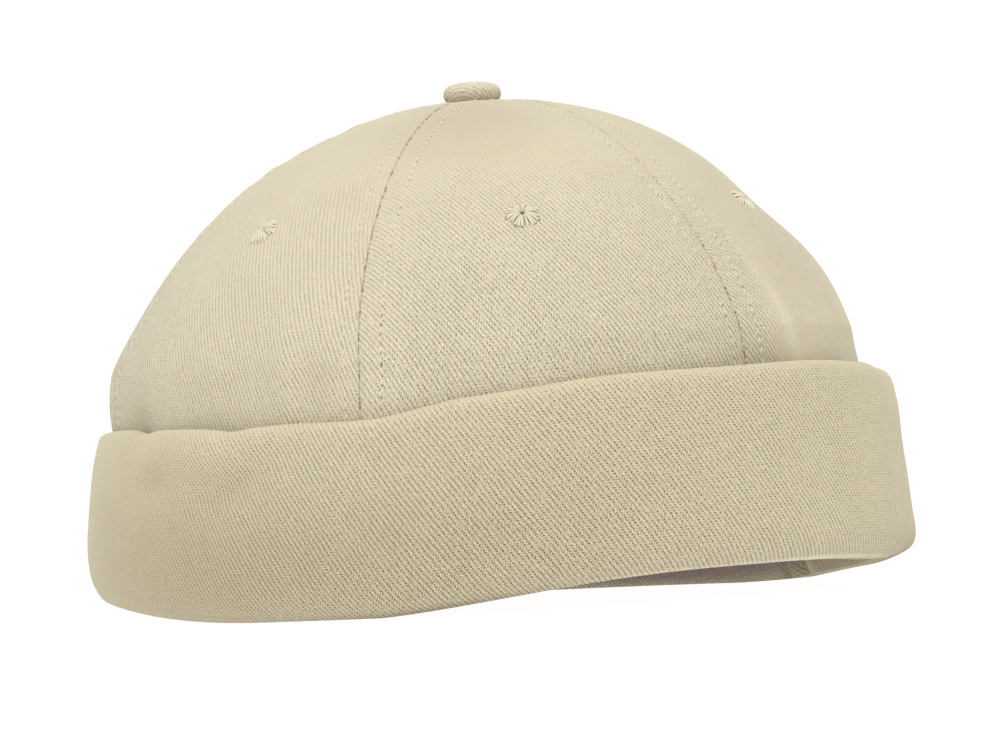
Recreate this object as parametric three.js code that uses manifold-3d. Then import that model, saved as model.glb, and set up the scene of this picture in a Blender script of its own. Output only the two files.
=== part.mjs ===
// Docker cap: a brimless cap of six cloth panels with a turned-up cuff, a covered button and six eyelets.
// Millimetres, +Z up, front toward -Y. The cuff's fold rests on the floor and its front stands a little clear.
import * as THREE from 'three';
import Module from 'manifold-3d';

// Crown: an oval at the brow that rises through a soft shoulder to a flat top
const CROWN_HALF_WIDTH = 87;
const CROWN_HALF_LENGTH = 98.2;
const BROW_HEIGHT = 58.7;
const SHOULDER_HEIGHT = 67.3;
const FLAT_REACH = 0.68;
const FLAT_HEIGHT = 128.2;
const CROWN_TOP = 125.2;
const TOP_LEAN = { right: 3.9, back: 4.7 };

// Crown skirt: the part of each panel that goes down into the cuff
const SKIRT_LOW = 2.5;
const SKIRT_FLARE = 5.6;
const SKIRT_SHARE = 0.28;

// Cloth and seams
const PANEL_COUNT = 6;
const PANEL_CLOTH = 1.4;
const PANEL_BULGE = 0.8;
const SEAM_GAP = 0.3;
const TIP_RADIUS = 2.6;

// Where the rim stands off the floor: the middle angle, the angle to each side and the height
const RIM_LIFTS = [
  { place: 'front', angle: 13, half: 70, up: 8.8 },
  { place: 'left rear', angle: -126, half: 34, up: 2.6 },
];

// Cuff: the middle line of the folded cloth, from the inner leg, around the fold, to the top edge
const CUFF_CLOTH = 2.4;
const CUFF_TOP = 46.3;
const CUFF_PATH = [
  { place: 'inner leg end', out: 0.5, up: 14.5 },
  { place: 'inner leg', out: 1.4, up: 6.5 },
  { place: 'inner turn', out: 2.3, up: 2.3 },
  { place: 'fold inside', out: 4.0, up: 0.6 },
  { place: 'fold outside', out: 6.4, up: 0.8 },
  { place: 'outer turn', out: 9.2, up: 3.6 },
  { place: 'outer low', out: 10.4, up: 9 },
  { place: 'outer middle', out: 9.4, up: 22 },
  { place: 'outer high', out: 7.9, up: 36 },
  { place: 'top edge', out: 5.9, up: CUFF_TOP },
];

// Soft dents and swells of the crown: where, how wide, how tall and how far out
const CROWN_SWELLS = [
  { place: 'left rear above the cuff', angle: -128, height: 54, spread: 35, tall: 14, out: 3.1 },
  { place: 'left rear shoulder', angle: -128, height: 88, spread: 35, tall: 24, out: -1.0 },
  { place: 'left side ridge', angle: -68, height: 66, spread: 7, tall: 16, out: 1.0 },
  { place: 'left side hollow', angle: -82, height: 64, spread: 8, tall: 15, out: -0.9 },
  { place: 'right shoulder hollow', angle: 52, height: 94, spread: 25, tall: 9, out: -2.1 },
  { place: 'right side swell', angle: 50, height: 79, spread: 24, tall: 9, out: 0.5 },
  { place: 'right side tuck', angle: 48, height: 60, spread: 20, tall: 9, out: -1.3 },
  { place: 'front seam tuck', angle: 4, height: 60, spread: 12, tall: 10, out: -1.0 },
  { place: 'back slack', angle: 165, height: 72, spread: 22, tall: 14, out: -1.3 },
];

// Waves of the cuff's top edge: where, how wide, how far out and how far up
const CUFF_WAVES = [
  { place: 'left rear', angle: -128, spread: 24, out: -0.6, up: -1.8 },
  { place: 'left side roll', angle: -80, spread: 13, out: 0.9, up: -0.5 },
  { place: 'left crease', angle: -58, spread: 9, out: -0.8, up: -0.2 },
  { place: 'near middle', angle: -28, spread: 15, out: 0.3, up: 1.7 },
  { place: 'front seam', angle: -4, spread: 10, out: 0.2, up: -0.2 },
  { place: 'right side', angle: 56, spread: 24, out: 0.9, up: -2.0 },
  { place: 'right rear', angle: 112, spread: 18, out: -0.6, up: 0.5 },
  { place: 'back', angle: 172, spread: 22, out: 0.7, up: -0.5 },
];

// Eyelets: one in each panel, turned a little off the panel's middle, part of the way up the dome
const EYELETS = [
  { panel: 1, turn: -5.2, rise: 0.47 },
  { panel: 2, turn: 0, rise: 0.46 },
  { panel: 3, turn: 0, rise: 0.46 },
  { panel: 4, turn: 0, rise: 0.46 },
  { panel: 5, turn: 4.6, rise: 0.47 },
  { panel: 6, turn: -2.1, rise: 0.45 },
];
const EYELET_HOLE_RADIUS = 1.7;
const EYELET_GAP = 0.3;
const EYELET_PROFILE = [
  { place: 'inside low', radius: 0.7, up: -1.6 },
  { place: 'collar low', radius: 1.35, up: -1.6 },
  { place: 'collar top', radius: 1.35, up: 0 },
  { place: 'flange edge', radius: 4.2, up: 0 },
  { place: 'flange round', radius: 4.4, up: 0.3 },
  { place: 'flange top', radius: 3.7, up: 0.75 },
  { place: 'crest', radius: 2.1, up: 0.8 },
  { place: 'mouth', radius: 0.7, up: 0.1 },
];

// Top button
const BUTTON_GAP = 0.3;
const BUTTON_PROFILE = [
  { place: 'underside', radius: 0, up: 0 },
  { place: 'foot', radius: 6.6, up: 0 },
  { place: 'side', radius: 7.2, up: 1.3 },
  { place: 'shoulder', radius: 7.0, up: 3.0 },
  { place: 'brow', radius: 6.0, up: 4.2 },
  { place: 'dome', radius: 3.6, up: 4.9 },
  { place: 'top', radius: 0, up: 5.2 },
];

// How finely the surfaces are divided
const PANEL_COLUMNS = 10;
const PANEL_ROWS = 18;
const CUFF_SEGMENTS = 76;
const CUFF_STEPS = 13;
const EYELET_SEGMENTS = 14;
const BUTTON_SEGMENTS = 20;

const radians = THREE.MathUtils.degToRad;
const domeProfile = new THREE.CubicBezierCurve(
  new THREE.Vector2(1, BROW_HEIGHT),
  new THREE.Vector2(1, SHOULDER_HEIGHT),
  new THREE.Vector2(FLAT_REACH, FLAT_HEIGHT),
  new THREE.Vector2(0, CROWN_TOP),
);

const wasm = await Module();
wasm.setup();

// A bell curve that is 1 at the middle and falls off over the spread.
function bell(distance, spread) {
  return Math.exp(-((distance / spread) ** 2));
}

// The turn from one angle to another in degrees, between -180 and 180.
function turnBetween(from, to) {
  return THREE.MathUtils.euclideanModulo(to - from + 180, 360) - 180;
}

// How far the rim stands off the floor at an angle from the front.
function rimLift(angle) {
  return RIM_LIFTS.reduce((sum, row) => {
    const turn = Math.min(1, Math.abs(turnBetween(row.angle, angle)) / row.half);
    return sum + row.up * Math.cos((turn * Math.PI) / 2) ** 1.15;
  }, 0);
}

// How far the soft crown swells outward at an angle and height.
function crownSwell(angle, height) {
  return CROWN_SWELLS.reduce((sum, row) => {
    const around = bell(turnBetween(row.angle, angle), row.spread);
    return sum + row.out * around * bell(height - row.height, row.tall);
  }, 0);
}

// The crown's section: share of the oval, extra reach and height, from the lower edge (0) to the middle (1).
function crownSection(along) {
  if (along < SKIRT_SHARE) {
    const up = along / SKIRT_SHARE;
    const height = THREE.MathUtils.lerp(SKIRT_LOW, BROW_HEIGHT, up);
    return { share: 1, extra: SKIRT_FLARE * (1 - up) ** 1.5, height };
  }
  const point = domeProfile.getPoint((along - SKIRT_SHARE) / (1 - SKIRT_SHARE));
  return { share: point.x, extra: 0, height: point.y };
}

// A point of the crown's outer face at an angle from the front, swollen outward by some more.
function crownPoint(angle, along, more = 0) {
  const { share, extra, height } = crownSection(along);
  const rise = Math.max(0, (height - BROW_HEIGHT) / (CROWN_TOP - BROW_HEIGHT));
  const slack = Math.min(1, share * 2.5);
  const out = extra + (crownSwell(angle, height) + more) * slack;
  const turn = radians(angle);
  return new THREE.Vector3(
    (CROWN_HALF_WIDTH * share + out) * Math.sin(turn) + TOP_LEAN.right * rise ** 2,
    -(CROWN_HALF_LENGTH * share + out) * Math.cos(turn) + TOP_LEAN.back * rise * (2 - rise),
    height + rimLift(angle) * (1 - height / CROWN_TOP),
  );
}

// The outward normal of the crown at a place.
function crownNormal(angle, along) {
  const across = crownPoint(angle + 0.5, along).sub(crownPoint(angle - 0.5, along));
  const low = Math.max(0, along - 0.004);
  const upward = crownPoint(angle, low + 0.008).sub(crownPoint(angle, low));
  return across.cross(upward).normalize();
}

// How far along the section the panel tips stop, just short of the middle.
function tipAlong() {
  let along = 1;
  while (crownSection(along).share * CROWN_HALF_WIDTH < TIP_RADIUS) {
    along -= 0.001;
  }
  return along;
}

// A closed solid from a grid of points that wraps around one way and is capped or wrapped the other way.
function solidFromLoops(loops, wrapLoops) {
  const size = loops[0].length;
  const positions = loops.flat().flatMap((point) => point.toArray());
  const triangles = [];
  const last = wrapLoops ? loops.length : loops.length - 1;
  for (let row = 0; row < last; row += 1) {
    const next = (row + 1) % loops.length;
    for (let column = 0; column < size; column += 1) {
      const side = (column + 1) % size;
      const corner = [row * size + column, row * size + side, next * size + side, next * size + column];
      triangles.push(corner[0], corner[1], corner[2], corner[0], corner[2], corner[3]);
    }
  }
  return { positions, triangles };
}

// Close the two ends of a solid made of loops that are each a strip with two long sides.
function capStrips(solid, size, count) {
  const half = size / 2;
  for (const [row, flip] of [[0, true], [count - 1, false]]) {
    for (let step = 0; step < half - 1; step += 1) {
      const near = row * size + step;
      const far = row * size + (size - 1 - step);
      const quad = [near, near + 1, far - 1, far];
      const order = flip ? [0, 2, 1, 0, 3, 2] : [0, 1, 2, 0, 2, 3];
      solid.triangles.push(...order.map((corner) => quad[corner]));
    }
  }
  return solid;
}

function toManifold({ positions, triangles }) {
  const mesh = new wasm.Mesh({
    numProp: 3,
    vertProperties: new Float32Array(positions),
    triVerts: new Uint32Array(triangles),
  });
  return new wasm.Manifold(mesh);
}

function toGeometry({ positions, triangles }) {
  const geometry = new THREE.BufferGeometry();
  geometry.setAttribute('position', new THREE.Float32BufferAttribute(positions, 3));
  geometry.setIndex(Array.from(triangles));
  geometry.computeVertexNormals();
  return geometry;
}

// The place of an eyelet: its angle from the front and how far along the crown's section.
function eyeletPlace(row) {
  const angle = (row.panel - 0.5) * (360 / PANEL_COUNT) + row.turn;
  return { angle, along: SKIRT_SHARE + row.rise * (1 - SKIRT_SHARE) };
}

// The bulge of a panel between its two seams, flat at the tip.
function panelBulge(across, along) {
  return PANEL_BULGE * (1 - (2 * across - 1) ** 4) * Math.sin(Math.PI * along) ** 0.5;
}

// One panel: an outer and an inner face, a cloth's thickness apart, between two seams.
function panelSolid(panel) {
  const width = 360 / PANEL_COUNT;
  const start = (panel - 1) * width;
  const end = tipAlong();
  const loops = [];
  for (let row = 0; row <= PANEL_ROWS; row += 1) {
    const along = (row / PANEL_ROWS) * end;
    const radius = crownSection(along).share * CROWN_HALF_WIDTH;
    const inset = THREE.MathUtils.radToDeg(Math.asin(SEAM_GAP / 2 / radius));
    const outer = [];
    const inner = [];
    for (let column = 0; column <= PANEL_COLUMNS; column += 1) {
      const across = column / PANEL_COLUMNS;
      const angle = THREE.MathUtils.lerp(start + inset, start + width - inset, across);
      const face = crownPoint(angle, along, panelBulge(across, along));
      outer.push(face);
      inner.unshift(face.clone().addScaledVector(crownNormal(angle, along), -PANEL_CLOTH));
    }
    loops.push([...outer, ...inner]);
  }
  return capStrips(solidFromLoops(loops, false), loops[0].length, loops.length);
}

// A round cutter along the eyelet's axis, for the hole in its panel.
function eyeletCutter(centre, normal) {
  const turn = new THREE.Quaternion().setFromUnitVectors(new THREE.Vector3(0, 0, 1), normal);
  const loops = [-4, 3].map((height) => {
    const loop = [];
    for (let step = 0; step < EYELET_SEGMENTS; step += 1) {
      const angle = (step / EYELET_SEGMENTS) * Math.PI * 2;
      const flat = new THREE.Vector3(Math.cos(angle), Math.sin(angle), 0);
      const local = flat.multiplyScalar(EYELET_HOLE_RADIUS).setZ(height);
      loop.push(local.applyQuaternion(turn).add(centre));
    }
    return loop;
  });
  return capStrips(solidFromLoops(loops, false), EYELET_SEGMENTS, 2);
}

// Panel with its eyelet hole cut through.
function panelGeometry(panel) {
  const place = eyeletPlace(EYELETS[panel - 1]);
  const centre = crownPoint(place.angle, place.along, PANEL_BULGE);
  const cutter = eyeletCutter(centre, crownNormal(place.angle, place.along));
  const cut = toManifold(panelSolid(panel)).subtract(toManifold(cutter)).getMesh();
  return toGeometry({ positions: Array.from(cut.vertProperties), triangles: cut.triVerts });
}

// The cuff's section at an angle: both faces of the folded cloth, with the top edge waved.
function cuffLoop(angle) {
  const wave = { out: 0, up: 0 };
  for (const row of CUFF_WAVES) {
    const share = bell(turnBetween(row.angle, angle), row.spread);
    wave.out += row.out * share;
    wave.up += row.up * share;
  }
  const path = new THREE.SplineCurve(CUFF_PATH.map((row) => new THREE.Vector2(row.out, row.up)));
  const outside = [];
  const inside = [];
  for (let step = 0; step <= CUFF_STEPS; step += 1) {
    const place = step / CUFF_STEPS;
    const middle = path.getPoint(place);
    const along = path.getTangent(place);
    const reach = place > 0.4 ? middle.y / CUFF_TOP : 0;
    middle.x += wave.out * reach ** 1.5;
    middle.y += wave.up * reach;
    const side = new THREE.Vector2(along.y, -along.x).multiplyScalar(CUFF_CLOTH / 2);
    outside.push(middle.clone().add(side));
    inside.unshift(middle.clone().sub(side));
  }
  return [...outside, ...inside];
}

// The cuff: the folded section carried around the oval and pressed flat where it rests.
function cuffGeometry() {
  const loops = [];
  for (let segment = 0; segment < CUFF_SEGMENTS; segment += 1) {
    const angle = (-segment / CUFF_SEGMENTS) * 360;
    const turn = radians(angle);
    loops.push(cuffLoop(angle).map((point) => new THREE.Vector3(
      (CROWN_HALF_WIDTH + point.x) * Math.sin(turn),
      -(CROWN_HALF_LENGTH + point.x) * Math.cos(turn),
      Math.max(0, point.y) + rimLift(angle),
    )));
  }
  return toGeometry(solidFromLoops(loops, true));
}

// A turned piece about +Z from a table of radii and heights.
function turnedGeometry(profile, segments) {
  const points = profile.map((row) => new THREE.Vector2(row.radius, row.up));
  return new THREE.LatheGeometry(points, segments).rotateX(Math.PI / 2);
}

function eyeletGeometry(row) {
  const place = eyeletPlace(row);
  const normal = crownNormal(place.angle, place.along);
  const centre = crownPoint(place.angle, place.along, PANEL_BULGE).addScaledVector(normal, EYELET_GAP);
  const turn = new THREE.Quaternion().setFromUnitVectors(new THREE.Vector3(0, 0, 1), normal);
  const ring = turnedGeometry([...EYELET_PROFILE, EYELET_PROFILE[0]], EYELET_SEGMENTS);
  return ring.applyQuaternion(turn).translate(centre.x, centre.y, centre.z);
}

function buttonGeometry() {
  const middle = crownPoint(0, 1);
  const seat = CROWN_TOP + BUTTON_GAP;
  return turnedGeometry(BUTTON_PROFILE, BUTTON_SEGMENTS).translate(middle.x, middle.y, seat);
}

const cottonTwill = { color: 0xd8cbab, roughness: 0.95, metalness: 0 };
const sewingThread = { color: 0xcfc2a0, roughness: 0.8, metalness: 0 };
const cap = new THREE.Group();
cap.name = 'docker_cap';

function addPiece(name, geometry, finish) {
  const piece = new THREE.Mesh(geometry, new THREE.MeshStandardMaterial(finish));
  piece.name = name;
  cap.add(piece);
}

for (let panel = 1; panel <= PANEL_COUNT; panel += 1) {
  addPiece(`crown_panel_${panel}`, panelGeometry(panel), cottonTwill);
}
addPiece('cuff', cuffGeometry(), cottonTwill);
addPiece('top_button', buttonGeometry(), cottonTwill);
for (const row of EYELETS) {
  addPiece(`eyelet_${row.panel}`, eyeletGeometry(row), sewingThread);
}

export default cap;
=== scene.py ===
"""A docker cap of beige cotton twill, dressed for its picture.

The crown is sewn from six panels, a cuff is turned up round its rim, a covered button closes the
top, and each panel has one sewn eyelet. Sizes are in millimetres and angles in degrees. An angle
round the cap starts at the front seam, which faces -Y, and grows towards +X. Each mesh is put into
the shared frame in metres.
"""

import logging
from dataclasses import dataclass, field
from enum import Enum

import bpy
import numpy as np
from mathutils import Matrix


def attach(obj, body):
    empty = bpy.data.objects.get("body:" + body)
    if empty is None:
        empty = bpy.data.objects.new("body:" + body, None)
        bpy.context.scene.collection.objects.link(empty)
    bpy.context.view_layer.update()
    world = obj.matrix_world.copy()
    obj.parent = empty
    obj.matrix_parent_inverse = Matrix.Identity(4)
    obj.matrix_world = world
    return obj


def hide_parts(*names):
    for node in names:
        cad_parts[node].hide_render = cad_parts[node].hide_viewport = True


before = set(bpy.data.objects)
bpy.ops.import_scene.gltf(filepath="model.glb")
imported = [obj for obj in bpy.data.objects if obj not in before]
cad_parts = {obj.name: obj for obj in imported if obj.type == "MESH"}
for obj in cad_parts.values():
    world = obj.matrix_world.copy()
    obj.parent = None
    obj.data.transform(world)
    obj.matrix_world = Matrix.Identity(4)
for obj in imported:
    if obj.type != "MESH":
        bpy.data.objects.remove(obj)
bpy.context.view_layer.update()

MM = 0.001
CLOTH_UV = "cloth"
CRISP = "crisp"
# The stored look of light and shade painted onto the cloth: darker below 0, lighter above, and its
# highest values also bring in lint.
PAINTED_LIGHT = "fade"
TINY = 1e-12
LOG = logging.getLogger("docker_cap")

Numbers = np.ndarray
Colour = tuple[float, float, float]


class Slot(Enum):
    """The record's material slots."""

    CROWN = "crown_twill"
    CUFF = "cuff_twill"
    BUTTON = "button_twill"
    THREAD = "eyelet_thread"


# Small formulas


def bell(distance: Numbers, spread: Numbers | float) -> Numbers:
    """A soft bump: 1 in the middle, falling as exp(-(distance / spread) squared)."""
    return np.exp(-((distance / spread) ** 2))


def ease(value: Numbers, start: float, end: float) -> Numbers:
    """A smooth step from 0 at start to 1 at end, by 3t^2 - 2t^3."""
    part = np.clip((value - start) / (end - start), 0.0, 1.0)
    return part * part * (3.0 - 2.0 * part)


def turn_between(angle: Numbers, other: float) -> Numbers:
    """The signed turn from other to angle, in degrees from -180 to 180."""
    return (angle - other + 180.0) % 360.0 - 180.0


def unit(vectors: Numbers) -> Numbers:
    """The vectors at length 1."""
    return vectors / np.maximum(np.linalg.norm(vectors, axis=-1, keepdims=True), TINY)


def run_length(points: Numbers) -> Numbers:
    """The distance run along rows of points, from 0 at the first row."""
    steps = np.linalg.norm(np.diff(points, axis=0), axis=-1)
    return np.concatenate([np.zeros_like(steps[:1]), np.cumsum(steps, axis=0)])


def through(knots: Numbers, place: Numbers) -> Numbers:
    """A smooth curve through knots, evenly spread in place from 0 to 1.

    Each stretch between two knots is the cubic that leaves them along the line between their
    neighbours, with the end knots doubled.

    Args:
        knots: the points to pass through, one in each row.
        place: where on the curve, from 0 to 1.

    Returns:
        One point for each place.
    """
    last = len(knots) - 1
    first = np.clip(np.floor(place * last).astype(int), 0, last - 1)
    part = (place * last - first)[:, None]
    before = knots[np.maximum(first - 1, 0)]
    start = knots[first]
    end = knots[first + 1]
    after = knots[np.minimum(first + 2, last)]
    leave = (end - before) / 2
    arrive = (after - start) / 2
    return (
        (2 * start - 2 * end + leave + arrive) * part**3
        + (-3 * start + 3 * end - 2 * leave - arrive) * part**2
        + leave * part
        + start
    )


# Meshes from grids of points


@dataclass
class GridMesh:
    """A mesh whose points lie on a grid, whose faces are the grid's cells.

    Attributes:
        points: millimetres, of shape (copies, rows, columns, 3).
        cloth: the place of each grid corner on the flat cloth in millimetres, of shape
            (copies, rows or rows + 1, columns or columns + 1, 2), one more where a side is joined.
        crisp: how deep the weave is at each point, 1 where it is full.
        fade: the light and shade painted on the cloth at each point, lighter above 0 and darker
            below.
        joined_rows: whether the last row meets the first.
        joined_columns: whether the last column meets the first.
        capped: whether the first and last rows, as closed loops, are filled.
        creased: the columns whose cells, up to the next column, keep sharp edges.
    """

    points: Numbers
    cloth: Numbers
    crisp: Numbers | float = 1.0
    fade: Numbers | float = 0.0
    joined_rows: bool = False
    joined_columns: bool = False
    capped: bool = False
    creased: tuple[int, ...] = ()

    def smooth(self, count: int) -> Numbers:
        """Which of the cells are shaded smooth: all but those that start at a creased column."""
        columns = self.points.shape[2] - 1 + self.joined_columns
        return ~np.isin(np.arange(count) % columns, self.creased)

    def cells(self) -> tuple[Numbers, Numbers]:
        """The grid's cells as four corners each.

        Returns:
            Corner numbers of the points, and corner numbers of the cloth places.
        """
        copies, rows, columns = self.points.shape[:3]
        cloth_rows, cloth_columns = self.cloth.shape[1:3]
        low = np.arange(rows - 1 + self.joined_rows)
        left = np.arange(columns - 1 + self.joined_columns)
        copy, row, column = np.meshgrid(np.arange(copies), low, left, indexing="ij")

        def corner(down: int, along: int) -> tuple[Numbers, Numbers]:
            """Numbers one corner of every cell.

            Args:
                down: how many rows further on it lies.
                along: how many columns further on it lies.

            Returns:
                Its point numbers and its cloth numbers.
            """
            point_row = (row + down) % rows
            point_column = (column + along) % columns
            point = (copy * rows + point_row) * columns + point_column
            place = (copy * cloth_rows + row + down) * cloth_columns + column + along
            return point.ravel(), place.ravel()

        corners = [corner(0, 0), corner(0, 1), corner(1, 1), corner(1, 0)]
        points = np.stack([c[0] for c in corners], axis=1)
        places = np.stack([c[1] for c in corners], axis=1)
        if self.capped:
            points, places = self.with_caps(points, places)
        return points, places

    def with_caps(self, points: Numbers, places: Numbers) -> tuple[Numbers, Numbers]:
        """Adds strips that fill the first and last rows of closed loops.

        A loop's column j is joined to the column that lies as far from its other end.

        Args:
            points: the cells' point numbers.
            places: the cells' cloth numbers.

        Returns:
            Both, with the caps added.
        """
        copies, rows, columns = self.points.shape[:3]
        cloth_rows, cloth_columns = self.cloth.shape[1:3]
        near = np.arange(columns // 2 - 1)
        loop = np.stack([near, columns - 1 - near, columns - 2 - near, near + 1], axis=1)
        for copy in range(copies):
            for row, order in ((0, slice(None)), (rows - 1, slice(None, None, -1))):
                point = (copy * rows + row) * columns + loop[:, order]
                place = (copy * cloth_rows + row) * cloth_columns + loop[:, order]
                points = np.concatenate([points, point])
                places = np.concatenate([places, place])
        return points, places


def make_piece(name: str, *parts: tuple[GridMesh, bpy.types.Material]) -> bpy.types.Object:
    """Puts grids into the scene as one mesh, smooth but for its creases.

    Args:
        name: the piece's name.
        parts: each grid with the finish of its faces.

    Returns:
        The new object, at the origin.
    """
    mesh = bpy.data.meshes.new(name)
    points, corners, places, finishes, smooth, crisp, fade = [], [], [], [], [], [], []
    for number, (grid, material) in enumerate(parts):
        cells, cloth = grid.cells()
        corners.append(cells + sum(map(len, points)))
        points.append(grid.points.reshape(-1, 3) * MM)
        places.append(grid.cloth.reshape(-1, 2)[cloth.ravel()])
        finishes.append(np.full(len(cells), number, dtype=np.int32))
        smooth.append(grid.smooth(len(cells)))
        crisp.append(np.broadcast_to(grid.crisp, grid.points.shape[:3]).ravel())
        fade.append(np.broadcast_to(grid.fade, grid.points.shape[:3]).ravel())
        mesh.materials.append(material)
    corner = np.concatenate(corners).astype(np.int32)
    mesh.vertices.add(sum(map(len, points)))
    mesh.vertices.foreach_set("co", np.concatenate(points).astype(np.float32).ravel())
    mesh.loops.add(corner.size)
    mesh.loops.foreach_set("vertex_index", corner.ravel())
    mesh.polygons.add(len(corner))
    mesh.polygons.foreach_set("loop_start", np.arange(0, corner.size, 4, dtype=np.int32))
    mesh.polygons.foreach_set("material_index", np.concatenate(finishes))
    layer = mesh.uv_layers.new(name=CLOTH_UV)
    layer.data.foreach_set("uv", np.concatenate(places).astype(np.float32).ravel())
    mesh.update(calc_edges=True)
    mesh.validate()
    mesh.polygons.foreach_set("use_smooth", np.concatenate(smooth))
    for look, values in ((CRISP, crisp), (PAINTED_LIGHT, fade)):
        stored = mesh.attributes.new(look, "FLOAT", "POINT")
        stored.data.foreach_set("value", np.concatenate(values).astype(np.float32))
    piece = bpy.data.objects.new(name, mesh)
    bpy.context.collection.objects.link(piece)
    return piece


def seat(piece: bpy.types.Object, slot: Slot, *nodes: str) -> None:
    """Ties a piece to the part: its body and the solids that it stands for, and logs its slot.

    Args:
        piece: the finished piece.
        slot: the record's finish that it takes, which is only logged here.
        nodes: the names of the solids that it replaces.
    """
    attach(piece, "root")
    if nodes:
        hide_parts(*nodes)
    triangles = sum(len(face.vertices) - 2 for face in piece.data.polygons)
    LOG.info("%s: %d triangles, slot %s", piece.name, triangles, slot.value)


# Finishes


class Value:
    """A number in a material's nodes. Arithmetic on it adds Math nodes."""

    def __init__(self, graph: "Graph", socket: bpy.types.NodeSocket) -> None:
        """Keeps the graph and the socket that gives the number."""
        self.graph = graph
        self.socket = socket

    def math(self, operation: str, *terms: "Value | float") -> "Value":
        """The result of one Math node.

        Args:
            operation: the node's operation.
            terms: its inputs in order.

        Returns:
            The node's result.
        """
        made = self.graph.node("Math", {"operation": operation}, dict(enumerate(terms)))
        return Value(self.graph, made.outputs[0])

    def __add__(self, other: "Value | float") -> "Value":
        """self + other."""
        return self.math("ADD", self, other)

    def __radd__(self, other: float) -> "Value":
        """other + self."""
        return self.math("ADD", other, self)

    def __sub__(self, other: "Value | float") -> "Value":
        """self - other."""
        return self.math("SUBTRACT", self, other)

    def __rsub__(self, other: float) -> "Value":
        """other - self."""
        return self.math("SUBTRACT", other, self)

    def __mul__(self, other: "Value | float") -> "Value":
        """self * other."""
        return self.math("MULTIPLY", self, other)

    def __rmul__(self, other: float) -> "Value":
        """other * self."""
        return self.math("MULTIPLY", other, self)

    def __truediv__(self, other: "Value | float") -> "Value":
        """self / other."""
        return self.math("DIVIDE", self, other)

    def __pow__(self, other: "Value | float") -> "Value":
        """self to the power of other."""
        return self.math("POWER", self, other)

    def floor(self) -> "Value":
        """The whole number below."""
        return self.math("FLOOR", self)

    def fraction(self) -> "Value":
        """The part above the whole number below."""
        return self.math("FRACT", self)

    def wave(self) -> "Value":
        """A swing from 0 to 1 and back, once for each whole number, 1 at whole numbers."""
        return self.math("COSINE", self * (2 * np.pi)) * 0.5 + 0.5


class Graph:
    """A material's nodes, added one by one up to its surface."""

    def __init__(self, name: str) -> None:
        """Starts a material without nodes.

        Args:
            name: the material's name.
        """
        self.material = bpy.data.materials.new(name)
        self.material.use_nodes = True
        self.tree = self.material.node_tree
        self.tree.nodes.clear()

    def node(
        self,
        kind: str,
        settings: dict[str, object] | None = None,
        inputs: dict[str | int, object] | None = None,
    ) -> bpy.types.Node:
        """Adds one node.

        Args:
            kind: the node's type, without its ShaderNode prefix.
            settings: its properties, set first.
            inputs: a number, colour, Value or output socket for each of its inputs.

        Returns:
            The new node.
        """
        made = self.tree.nodes.new("ShaderNode" + kind)
        for name, setting in (settings or {}).items():
            setattr(made, name, setting)
        for key, given in (inputs or {}).items():
            if isinstance(given, Value):
                given = given.socket
            if isinstance(given, bpy.types.NodeSocket):
                self.tree.links.new(given, made.inputs[key])
            else:
                made.inputs[key].default_value = given
        return made

    def cloth(self) -> tuple[bpy.types.NodeSocket, Value, Value]:
        """Reads the place on the flat cloth.

        Returns:
            The place as a vector, and its millimetres across and along the cloth.
        """
        vector = self.node("UVMap", {"uv_map": CLOTH_UV}).outputs[0]
        parts = self.node("SeparateXYZ", inputs={0: vector})
        return vector, Value(self, parts.outputs[0]), Value(self, parts.outputs[1])

    def stored(self, look: str) -> Value:
        """A number that the mesh stores at each point."""
        return Value(self, self.node("Attribute", {"attribute_name": look}).outputs["Fac"])

    def noise(self, vector: bpy.types.NodeSocket, grain: float, detail: float = 2.0) -> Value:
        """Adds soft noise about 0.5.

        Args:
            vector: the place on the cloth.
            grain: how many millimetres across the lumps are.
            detail: how many finer layers the noise has.

        Returns:
            The noise.
        """
        inputs = {"Vector": vector, "Scale": 1.0 / grain, "Detail": detail}
        made = self.node("TexNoise", {"noise_dimensions": "2D"}, inputs)
        return Value(self, made.outputs[0])

    def chance(self, first: Value, second: Value) -> Value:
        """Draws a number from 0 to 1 anew for each pair of whole numbers.

        Args:
            first: one whole number.
            second: the other.

        Returns:
            The drawn number.
        """
        pair = self.node("CombineXYZ", inputs={0: first, 1: second})
        made = self.node("TexWhiteNoise", {"noise_dimensions": "2D"}, {"Vector": pair.outputs[0]})
        return Value(self, made.outputs[0])

    def between(self, value: Value, start: float, end: float) -> Value:
        """Adds a smooth step.

        Args:
            value: what the step follows.
            start: where the step leaves 0.
            end: where it reaches 1.

        Returns:
            The step, from 0 to 1.
        """
        settings = {"interpolation_type": "SMOOTHSTEP"}
        made = self.node("MapRange", settings, {0: value, 1: start, 2: end})
        return Value(self, made.outputs[0])

    def bump(self, height: Value, distance: float, strength: float = 1.0) -> bpy.types.NodeSocket:
        """Adds a bump that lies distance millimetres deep, and gives its normal."""
        inputs = {"Strength": strength, "Distance": distance * MM, "Height": height}
        return self.node("Bump", inputs=inputs).outputs[0]

    def mix(self, part: Value, low: object, high: object) -> bpy.types.NodeSocket:
        """A colour between low, where part is 0, and high, where it is 1."""
        made = self.node("Mix", {"data_type": "RGBA"}, {0: part, 6: low, 7: high})
        return made.outputs[2]

    def surface(self, inputs: dict[str | int, object]) -> bpy.types.Material:
        """Ends the material in a Principled surface.

        Args:
            inputs: what goes into the surface's sockets.

        Returns:
            The finished material.
        """
        shader = self.node("BsdfPrincipled", inputs=inputs)
        self.node("OutputMaterial", inputs={0: shader.outputs[0]})
        return self.material


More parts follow.
